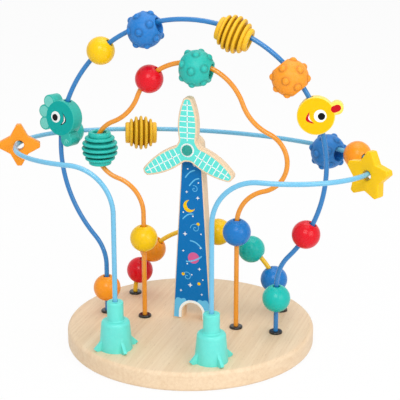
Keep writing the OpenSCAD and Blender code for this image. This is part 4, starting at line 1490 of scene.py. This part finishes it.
class MAZE_OT_board(bpy.types.Operator):
    """Makes the round board, the collars round the wires' feet and the screws under the board"""

    bl_idname = "bead_maze.board"
    bl_label = "Board"

    def execute(self, context):
        scene = context.scene
        board, colours = scene.maze_board, scene.maze_colours
        beech = wood("board_beech", colours, GRAIN_Y)
        make_piece("board_turned", board_shape(scene), beech, nodes=("base_board",))
        collars = Shape()
        for x, y in wire_feet(scene):
            ring = turned(collar_profile(board, scene.maze_wires), RING_SIDES)
            collars.add(ring, shift(x, y, board.thickness))
        black = moulded("collar_black", colours.black, gloss=0.22)
        make_piece("wire_collars", collars, black, nodes=("wire_grommets",))
        steel = metal("screw_plating", colours.steel)
        groups = (("tower_screws", tower_screw_spots(scene)), ("socket_screws", socket_screw_spots(scene)))
        for node, spots in groups:
            screws = Shape()
            for x, y in spots:
                screws.add(screw_shell(board), shift(x, y, board.screw_recess))
            make_piece(node + "_driven", screws, steel, nodes=(node,))
        return {"FINISHED"}


class MAZE_OT_wires(bpy.types.Operator):
    """Makes the four bent wires"""

    bl_idname = "bead_maze.wires"
    bl_label = "Wires"

    def execute(self, context):
        scene = context.scene
        colours = scene.maze_colours
        coats = {
            "arch_wire": ("arch_enamel", colours.arch_blue),
            "wave_wire": ("wave_enamel", colours.wave_orange),
            "low_wire": ("low_enamel", colours.hoop_yellow),
            "loop_wire": ("loop_enamel", colours.loop_sky),
        }
        for node, path in wire_paths(scene).items():
            slot, colour = coats[node]
            tube = Shape(swept(path, scene.maze_wires.thickness / 2))
            make_piece(node + "_bent", tube, enamel(slot + "_coat", colour), nodes=(node,))
        return {"FINISHED"}


class MAZE_OT_sockets(bpy.types.Operator):
    """Makes the two moulded sockets that hold the loop's feet"""

    bl_idname = "bead_maze.sockets"
    bl_label = "Sockets"

    def execute(self, context):
        scene = context.scene
        wires = scene.maze_wires
        plastic = moulded("socket_mint", scene.maze_colours.mint)
        foot_x = loop_middles(wires)[1]
        for node, x in (("socket_left", -foot_x), ("socket_right", foot_x)):
            shape = Shape(socket_shell(scene.maze_sockets, wires.thickness / 2))
            place = shift(x, wires.loop_foot_y, scene.maze_board.thickness)
            make_piece(node + "_moulded", shape, plastic, matrix=place, nodes=(node,))
        return {"FINISHED"}


class MAZE_OT_tower(bpy.types.Operator):
    """Makes the wooden tower with a printed night sky on its front and back"""

    bl_idname = "bead_maze.tower"
    bl_label = "Tower"

    def execute(self, context):
        scene = context.scene
        tower, colours = scene.maze_tower, scene.maze_colours
        beech = wood("tower_beech", colours, GRAIN_Z)
        middle = tower.front_y + tower.thickness / 2
        panel = Shape(slab([tower_outline(scene)], tower.thickness, bevel=0.7 * MM))
        place = shift(0, middle, 0) @ FACING
        make_piece("tower_cut", panel, beech, matrix=place, nodes=("tower_panel",))
        finishes = {
            "night": ink("sky_ink", colours.night),
            "haze": ink("haze_ink", colours.haze),
            "rose": ink("planet_ink", colours.rose),
            "yellow": ink("moon_ink", colours.yellow),
            "white": ink("star_ink", colours.white),
        }
        front = shift(0, tower.front_y, 0) @ FACING
        back = shift(0, tower.front_y + tower.thickness, 0) @ ABOUT @ FACING
        tower_prints(scene, front, "front", finishes)
        tower_prints(scene, back, "back", finishes)
        return {"FINISHED"}


class MAZE_OT_propeller(bpy.types.Operator):
    """Makes the propeller with its printed grid, its axle, washer and nut"""

    bl_idname = "bead_maze.propeller"
    bl_label = "Propeller"

    def execute(self, context):
        scene = context.scene
        tower, colours = scene.maze_tower, scene.maze_colours
        back_y = tower.front_y - tower.washer_height - 2 * tower.play
        front_y = back_y - tower.blade_thickness
        beech = wood("propeller_beech", colours, GRAIN_Z)
        outline = propeller_outline(tower)
        hole = circle(tower.axle / 2 + tower.play, HOLE_SIDES)[::-1]
        body = Shape(slab([outline, hole], tower.blade_thickness, bevel=0.9 * MM))
        middle = shift(0, (front_y + back_y) / 2, tower.axle_z) @ FACING
        node = "propeller"
        make_piece("propeller_cut", body, beech, node, middle, (node,))
        mint = ink("blade_ink", colours.mint)
        white = ink("grid_ink", colours.white)
        front = shift(0, front_y, tower.axle_z) @ FACING
        behind = shift(0, back_y, tower.axle_z) @ ABOUT @ FACING
        field_rim, field_lift, grid_lift, washer_gap = 1.5 * MM, 0.04 * MM, 0.07 * MM, 0.3 * MM
        field = inset(outline, field_rim)
        washer_hole = circle(tower.washer / 2 + washer_gap, HOLE_SIDES)[::-1]
        print_layer("propeller_field_front", [field], mint, front, field_lift, node, [hole])
        print_layer("propeller_field_back", [field], mint, behind, field_lift, node, [washer_hole])
        print_layer("propeller_grid", self.grid(tower), white, front, grid_lift, node)
        ring_r, ring_hole_r = 6.1 * MM, 4.6 * MM
        ring, ring_hole = circle(ring_r, RING_SIDES), circle(ring_hole_r, RING_SIDES)[::-1]
        print_layer("propeller_hub_ring", [ring], white, front, grid_lift, node, [ring_hole])
        self.axle(scene, front_y)
        return {"FINISHED"}

    def grid(self, tower):
        """A spine and rungs on each blade."""
        line_width, side_margin = 0.78 * MM, 1.9 * MM
        spine_from, spine_to = 8.4 * MM, tower.blade_reach - 3.2 * MM
        rung_from, rung_to, rung_count = 10.6 * MM, tower.blade_reach - 6.5 * MM, 7
        side_x = tower.blade_side_r - tower.blade_width / 2
        lines = []
        for i in range(tower.blade_count):
            marks = [stroke([(0.0, spine_from), (0.0, spine_to)], line_width)]
            for y in spaced(rung_from, rung_to, rung_count):
                half = math.sqrt(tower.blade_side_r**2 - (y - tower.blade_widest) ** 2) - side_x - side_margin
                marks.append(stroke([(-half, y), (half, y)], line_width))
            turn_to = Matrix.Rotation(FULL_TURN / tower.blade_count * i, 2)
            lines += [[tuple(turn_to @ Vector(p)) for p in mark] for mark in marks]
        return lines

    def axle(self, scene, front_y):
        """The pin with its flat head, the washer and the nut."""
        tower, colours = scene.maze_tower, scene.maze_colours
        head_r, head_h, pin_r = tower.axle_head / 2, tower.axle_head_height, tower.axle / 2
        soft, tail, pin_sides = 0.6 * MM, 1 * MM, 64
        dish_r, sink, dish_turn, dish_steps = 0.72 * head_r, 0.25 * MM, 0.9, 6
        shoulder_turn = 0.42 * HALF_TURN
        low = front_y - tower.play - tower.front_y - tower.thickness - tower.nut_height - tail
        profile = []
        for at in spaced(0.0, dish_turn, dish_steps):
            profile.append((dish_r * math.sin(at), head_h - sink * (1 - math.cos(at))))
        profile += arc((head_r - soft, head_h - soft), soft, shoulder_turn, 0.0, ROUND_STEPS)
        profile += [(head_r, 0.0), (pin_r, 0.0), (pin_r, low + soft), (pin_r - soft, low), (0.0, low)]
        place = shift(0, front_y - tower.play, tower.axle_z) @ FACING
        pin = Shape(turned(profile, pin_sides, closed=False))
        teal = moulded("axle_teal", colours.hub_teal, gloss=0.3)
        make_piece("axle_pin", pin, teal, matrix=place, nodes=("propeller_axle",))

        inner, outer, height, edge = pin_r + SNUG, tower.washer / 2, tower.washer_height, 0.4 * MM
        profile = [(inner, 0.0), (outer - edge, 0.0), (outer, edge)]
        profile += [(outer, height - edge), (outer - edge, height), (inner, height)]
        beech = wood("washer_beech", colours, GRAIN_Z)
        place = shift(0, tower.front_y, tower.axle_z) @ FACING
        washer = Shape(turned(profile, RING_SIDES))
        nodes = ("propeller_washer",)
        make_piece("washer_turned", washer, beech, matrix=place, nodes=nodes)

        nut_r, height = tower.nut / 2, tower.nut_height
        dome_r, rim, dome_steps = 0.7 * height, 0.3 * height, 9
        profile = [(inner, 0.0), (nut_r, 0.0), (nut_r, rim)]
        profile += arc((nut_r - dome_r, rim), dome_r, 0.0, QUARTER_TURN, dome_steps)[1:]
        profile += [(inner, height)]
        place = shift(0, tower.front_y + tower.thickness, tower.axle_z) @ spin("X", -QUARTER_TURN)
        steel = metal("nut_plating", colours.steel)
        nut = Shape(turned(profile, RING_SIDES))
        make_piece("nut_pressed", nut, steel, matrix=place, nodes=("axle_nut",))


class MAZE_OT_smooth_beads(bpy.types.Operator):
    """Makes the turned and lacquered beads"""

    bl_idname = "bead_maze.smooth_beads"
    bl_label = "Smooth beads"

    def execute(self, context):
        scene = context.scene
        beads, colours = scene.maze_beads, scene.maze_colours
        places = bead_places(scene)
        lip_r, sides = 1.0 * MM, 96
        profile = bored_profile(beads.ball / 2, beads.ball_hole / 2, lip_r)
        ball = Shape(turned(profile, sides), BORE)
        plain = {
            "red": ("arch_red_bead", "wave_red_bead", "low_red_bead"),
            "orange": ("arch_orange_bead", "low_orange_bead", "loop_orange_bead"),
            "yellow": ("arch_yellow_bead", "wave_yellow_bead", "low_yellow_bead"),
            "green": ("arch_green_bead", "low_green_bead", "loop_green_bead"),
            "blue": ("wave_blue_bead", "low_blue_bead"),
        }
        for colour, nodes in plain.items():
            coat = lacquer("lacquer_" + colour + "_coat", getattr(colours, colour))
            for node in nodes:
                make_piece(node + "_turned", ball, coat, node, places[node], (node,))
        return {"FINISHED"}


class MAZE_OT_soft_beads(bpy.types.Operator):
    """Makes the knobbly and the ribbed beads of soft rubber"""

    bl_idname = "bead_maze.soft_beads"
    bl_label = "Soft beads"

    def execute(self, context):
        scene = context.scene
        beads, colours = scene.maze_beads, scene.maze_colours
        places = bead_places(scene)
        knobbly = knobbly_shape(beads)
        ribbed = ribbed_shape(beads)
        kinds = (
            ("arch_blue_knobbly_bead", knobbly, "silicone_blue", colours.marine),
            ("loop_blue_knobbly_bead", knobbly, "silicone_blue", colours.marine),
            ("arch_orange_knobbly_bead", knobbly, "silicone_orange", colours.tangerine),
            ("wave_teal_knobbly_bead", knobbly, "silicone_teal", colours.teal),
            ("wave_teal_ribbed_bead", ribbed, "silicone_teal", colours.teal),
            ("arch_yellow_ribbed_bead", ribbed, "silicone_yellow", colours.golden),
            ("loop_yellow_ribbed_bead", ribbed, "silicone_yellow", colours.golden),
        )
        for node, shape, slot, colour in kinds:
            skin = silicone(slot + "_skin", colour)
            make_piece(node + "_moulded", shape, skin, node, places[node], (node,), SOFT_CREASE)
        return {"FINISHED"}


# Radius between the points of a star, as a share of the radius to its tips
FOUR_WAIST = 0.6
FIVE_WAIST = 0.64


class MAZE_OT_star_beads(bpy.types.Operator):
    """Makes the two painted stars"""

    bl_idname = "bead_maze.star_beads"
    bl_label = "Star beads"

    def execute(self, context):
        scene = context.scene
        beads, colours = scene.maze_beads, scene.maze_colours
        places = bead_places(scene)
        hole = circle(beads.star_hole / 2, DRILL_SIDES)[::-1]
        four = star_outline(4, beads.star4_r, FOUR_WAIST, beads.star_tip)
        five = star_outline(5, beads.star5_r, FIVE_WAIST, beads.star_tip, -beads.star5_turn)
        kinds = (
            ("loop_orange_star", four, "star_orange", colours.orange),
            ("loop_yellow_star", five, "star_yellow", colours.yellow),
        )
        for node, outline, slot, colour in kinds:
            shape = Shape(slab([outline, hole], beads.star_thickness, bevel=1.0 * MM, steps=6), ACROSS)
            coat = lacquer(slot + "_coat", colour, mottle=0.05, gloss=0.42)
            make_piece(node + "_cut", shape, coat, node, places[node], (node,))
        return {"FINISHED"}


# Sides of the animals' round prints, and the bare rim round them
DISC_SIDES = 80
EYE_SIDES = 44
PUPIL_SIDES = 36
DISC_RIM = 0.7 * MM


class MAZE_OT_animal_beads(bpy.types.Operator):
    """Makes the flat fish and the flat chick with their prints"""

    bl_idname = "bead_maze.animal_beads"
    bl_label = "Animal beads"

    def execute(self, context):
        scene = context.scene
        self.fish(scene)
        self.chick(scene)
        return {"FINISHED"}

    def flat_bead(self, scene, node, lobes, side, slot):
        """The bored disc with its lobes. It gives its two faces, each with its name and its way round."""
        beads = scene.maze_beads
        outline = lobed_outline(beads.flat / 2, lobes)
        shape = Shape(slab([outline], beads.flat_thickness, bevel=0.9 * MM), FACING)
        place = bead_places(scene)[node]
        piece = make_piece(node + "_cut", shape, side, node, place, (node,))
        drill(piece, place, beads.flat_hole / 2, 2 * beads.flat)
        half = beads.flat_thickness / 2
        front = place @ shift(0, -half, 0) @ FACING
        back = place @ ABOUT @ shift(0, -half, 0) @ FACING
        return ("front", front, 1), ("back", back, -1)

    def fish(self, scene):
        """Fish with a crest of lobes, a tail, an eye and a smile."""
        beads, colours = scene.maze_beads, scene.maze_colours
        node = "arch_fish_bead"
        fin_reach, tail_reach, tail_bearing = 0.58 * beads.flat, 0.635 * beads.flat, math.radians(-124)
        fins = [(math.radians(at), fin_reach, beads.lobe / 2) for at in (-34, 0, 34)]
        tail = (tail_bearing, tail_reach, beads.tail / 2)
        side = lacquer("fish_side", colours.fish_side, mottle=0.06, gloss=0.34)
        faces = self.flat_bead(scene, node, [*fins, tail], side, "fish_wood")
        teal = ink("fish_ink", colours.fish, gloss=0.32)
        pale = ink("fish_fin_ink", colours.fish_pale, gloss=0.36)
        white, black = self.eye_inks(colours)
        web_rim, vein_sink, vein_from, vein_width = 1.2 * MM, 1.6 * MM, 1.2 * MM, 0.7 * MM
        vein_length, vein_spread = 0.55 * beads.tail / 2, 0.55
        for name, face, way in faces:
            webs = []
            for bearing, reach, radius in fins:
                middle = (way * reach * math.sin(bearing), reach * math.cos(bearing))
                webs.append(circle(radius - web_rim, HOLE_SIDES, middle))
            out = Vector((way * math.sin(tail_bearing), math.cos(tail_bearing)))
            for swing in (-vein_spread, 0.0, vein_spread):
                lean = Matrix.Rotation(swing, 2) @ out
                root = out * (tail_reach - vein_sink) + lean * vein_from
                webs.append(stroke([root, root + lean * vein_length], vein_width))
            mouth = self.smile(half=6.2, corner=-1.6, low_sag=5.6, high_sag=2.8)[::way]
            teeth = self.smile(half=4.4, corner=-3.3, low_sag=2.8, high_sag=1.5)[::way]
            eye = self.round_mark(EYE_SIDES, radius=5.0, x=way * -0.4, z=4.6)
            pupil = self.round_mark(PUPIL_SIDES, radius=3.1, x=way * -1.0, z=5.1)
            layers = (
                ("fish_webs_", webs, pale),
                ("fish_disc_", [circle(beads.flat / 2 - DISC_RIM, DISC_SIDES)], teal),
                ("fish_eye_white_", [eye], white),
                ("fish_eye_black_", [pupil, mouth], black),
                ("fish_teeth_", [teeth], white),
            )
            self.print_face(layers, name, face, node)

    def eye_inks(self, colours):
        """White and black ink of the eyes."""
        white = ink("eye_white_ink", colours.white, gloss=0.3)
        return white, ink("eye_black_ink", colours.black, gloss=0.28)

    def print_face(self, layers, suffix, face, node):
        """Prints layer on layer on one face."""
        for i, (name, outlines, coat) in enumerate(layers):
            print_layer(name + suffix, outlines, coat, face, (i + 1) * FILM_STEP, node)

    def round_mark(self, sides, radius, x, z):
        """A round eye or pupil, in millimetres."""
        return circle(radius * MM, sides, (x * MM, z * MM))

    def smile(self, half, corner, low_sag, high_sag):
        """An open mouth between two sagging lips, in millimetres."""
        steps = 18
        shares = spaced(0.0, 1.0, steps)
        low = [(half * (2 * share - 1), corner - low_sag * math.sin(HALF_TURN * share)) for share in shares]
        high = [(x, corner - high_sag * math.sin(HALF_TURN * share)) for (x, _), share in zip(low, shares)]
        return [(x * MM, y * MM) for x, y in low + high[-2:0:-1]]

    def chick(self, scene):
        """Chick with an eye, a smile and a red comb."""
        beads, colours = scene.maze_beads, scene.maze_colours
        node = "arch_chick_bead"
        comb_at = 0.58 * beads.flat
        side = lacquer("chick_side", colours.chick_pale, mottle=0.05, gloss=0.4)
        faces = self.flat_bead(scene, node, [(0.0, comb_at, beads.comb / 2)], side, "chick_wood")
        yellow = ink("chick_ink", colours.chick, gloss=0.34)
        red = ink("comb_ink", colours.comb_red, gloss=0.34)
        white, black = self.eye_inks(colours)
        inlay_width, inlay_from, inlay_to = 5.8 * MM, comb_at - 2.2 * MM, comb_at + 0.6 * MM
        inlay = stroke([(0.0, inlay_from), (0.0, inlay_to)], inlay_width)
        for name, face, way in faces:
            mouth = self.smile(half=5.4, corner=-3.6, low_sag=5.2, high_sag=1.6)[::way]
            teeth = self.smile(half=3.4, corner=-4.5, low_sag=2.0, high_sag=0.9)[::way]
            eye = self.round_mark(EYE_SIDES, radius=5.2, x=way * 1.1, z=3.4)
            pupil = self.round_mark(PUPIL_SIDES, radius=3.0, x=way * 1.8, z=4.2)
            layers = (
                ("chick_disc_", [circle(beads.flat / 2 - DISC_RIM, DISC_SIDES)], yellow),
                ("chick_marks_", [inlay, mouth], red),
                ("chick_eye_white_", [eye, teeth], white),
                ("chick_eye_black_", [pupil], black),
            )
            self.print_face(layers, name, face, node)


# Name, width and place of each soft box in metres, and the place that they shine at
SOFT_BOXES = (
    ("key", 0.8, (0.25, -1.33, 1.25)),
    ("fill", 0.9, (1.3, -0.8, 0.7)),
    ("top", 1.2, (0.1, 0.25, 1.6)),
)
LAMP_AIM = Vector((0.0, 0.0, 0.14))

# The floor's half width, its own tone and its share of plain white, and the camera's sensor and reach
FLOOR_HALF = 4.0
FLOOR_TONE = (0.92, 0.92, 0.92, 1.0)
FLOOR_WHITE = 0.93
SENSOR_WIDTH = 36.0
NEAREST = 0.01
FARTHEST = 50.0


class MAZE_OT_stage(bpy.types.Operator):
    """Makes the floor, the studio light and the camera"""

    bl_idname = "bead_maze.stage"
    bl_label = "Stage"

    def execute(self, context):
        scene = context.scene
        light = scene.maze_light
        scene.view_settings.view_transform = "Standard"
        self.world(scene, light.sky)
        self.floor(scene)
        for name, width, spot in SOFT_BOXES:
            lamp = bpy.data.lights.new(name, "AREA")
            lamp.energy = getattr(light, name)
            lamp.size = width
            holder = bpy.data.objects.new(name, lamp)
            scene.collection.objects.link(holder)
            holder.location = spot
            holder.rotation_euler = (LAMP_AIM - Vector(spot)).to_track_quat("-Z", "Y").to_euler()
        self.camera(scene, light)
        return {"FINISHED"}

    def white_ray(self, tree):
        """One for rays that see the background itself, by eye, by gloss or through glass."""
        path = add_node(tree, "ShaderNodeLightPath").outputs
        seen = math_node(tree, "ADD", path["Is Camera Ray"], path["Is Glossy Ray"])
        seen = add_node(tree, "ShaderNodeMath", {0: seen, 1: path["Is Transmission Ray"]}, use_clamp=True)
        return seen.outputs[0]

    def world(self, scene, strength):
        """White to the eye, and softer as a light."""
        world = bpy.data.worlds.new("studio")
        scene.world = world
        world.use_nodes = True
        tree = world.node_tree
        tree.nodes.clear()
        glow = ramp(tree, self.white_ray(tree), low=0.0, high=1.0, start=strength, end=1.0)
        sky = add_node(tree, "ShaderNodeBackground", {"Color": WHITE, "Strength": glow})
        add_node(tree, "ShaderNodeOutputWorld", {"Surface": sky.outputs[0]})

    def floor(self, scene):
        """A wide white floor that keeps a faint shadow."""
        mesh = bpy.data.meshes.new("floor")
        corners = [(-FLOOR_HALF, -FLOOR_HALF, 0), (FLOOR_HALF, -FLOOR_HALF, 0)]
        corners += [(FLOOR_HALF, FLOOR_HALF, 0), (-FLOOR_HALF, FLOOR_HALF, 0)]
        mesh.from_pydata(corners, [], [(0, 1, 2, 3)])
        pale = bpy.data.materials.new("pale_floor")
        pale.use_nodes = True
        tree = pale.node_tree
        tree.nodes.clear()
        matt = add_node(tree, "ShaderNodeBsdfDiffuse", {"Color": FLOOR_TONE})
        glow = add_node(tree, "ShaderNodeEmission", {"Color": WHITE, "Strength": 1.0})
        share = weighed(tree, self.white_ray(tree), FLOOR_WHITE)
        both = add_node(tree, "ShaderNodeMixShader", {0: share, 1: matt.outputs[0], 2: glow.outputs[0]})
        add_node(tree, "ShaderNodeOutputMaterial", {"Surface": both.outputs[0]})
        mesh.materials.append(pale)
        floor = bpy.data.objects.new("floor", mesh)
        scene.collection.objects.link(floor)

    def camera(self, scene, light):
        """The camera at its place, level from side to side."""
        lens = bpy.data.cameras.new("camera")
        lens.lens = light.lens
        lens.sensor_width = SENSOR_WIDTH
        lens.clip_start, lens.clip_end = NEAREST, FARTHEST
        camera = bpy.data.objects.new("camera", lens)
        scene.collection.objects.link(camera)
        swing = spin("Z", light.azimuth) @ spin("X", QUARTER_TURN - light.elevation)
        spot = (light.camera_x, light.camera_y, light.camera_z)
        camera.matrix_world = shift(*spot) @ swing
        scene.camera = camera


class MAZE_PT_panel(bpy.types.Panel):
    """Lists the steps that make the bead maze"""

    bl_idname = "MAZE_PT_panel"
    bl_label = "Bead Maze"
    bl_space_type = "VIEW_3D"
    bl_region_type = "UI"
    bl_category = "Bead Maze"

    def draw(self, context):
        column = self.layout.column()
        for step in STEPS:
            column.operator(step.bl_idname)


GROUPS = {
    "maze_board": MazeBoard,
    "maze_wires": MazeWires,
    "maze_sockets": MazeSockets,
    "maze_tower": MazeTower,
    "maze_beads": MazeBeads,
    "maze_places": MazePlaces,
    "maze_colours": MazeColours,
    "maze_light": MazeLight,
}
STEPS = (
    MAZE_OT_stage,
    MAZE_OT_board,
    MAZE_OT_wires,
    MAZE_OT_sockets,
    MAZE_OT_tower,
    MAZE_OT_propeller,
    MAZE_OT_smooth_beads,
    MAZE_OT_soft_beads,
    MAZE_OT_star_beads,
    MAZE_OT_animal_beads,
)


def register():
    """Registers the classes and hangs the property groups on the scene."""
    for name, group in GROUPS.items():
        bpy.utils.register_class(group)
        setattr(bpy.types.Scene, name, PointerProperty(type=group))
    for step in STEPS:
        bpy.utils.register_class(step)
    bpy.utils.register_class(MAZE_PT_panel)


def unregister():
    """Takes the classes and property groups away again."""
    bpy.utils.unregister_class(MAZE_PT_panel)
    for step in reversed(STEPS):
        bpy.utils.unregister_class(step)
    for name, group in reversed(GROUPS.items()):
        delattr(bpy.types.Scene, name)
        bpy.utils.unregister_class(group)


def main():
    """Makes every piece in order."""
    register()
    for step in STEPS:
        family, name = step.bl_idname.split(".")
        getattr(getattr(bpy.ops, family), name)()


if __name__ == "__main__":
    main()
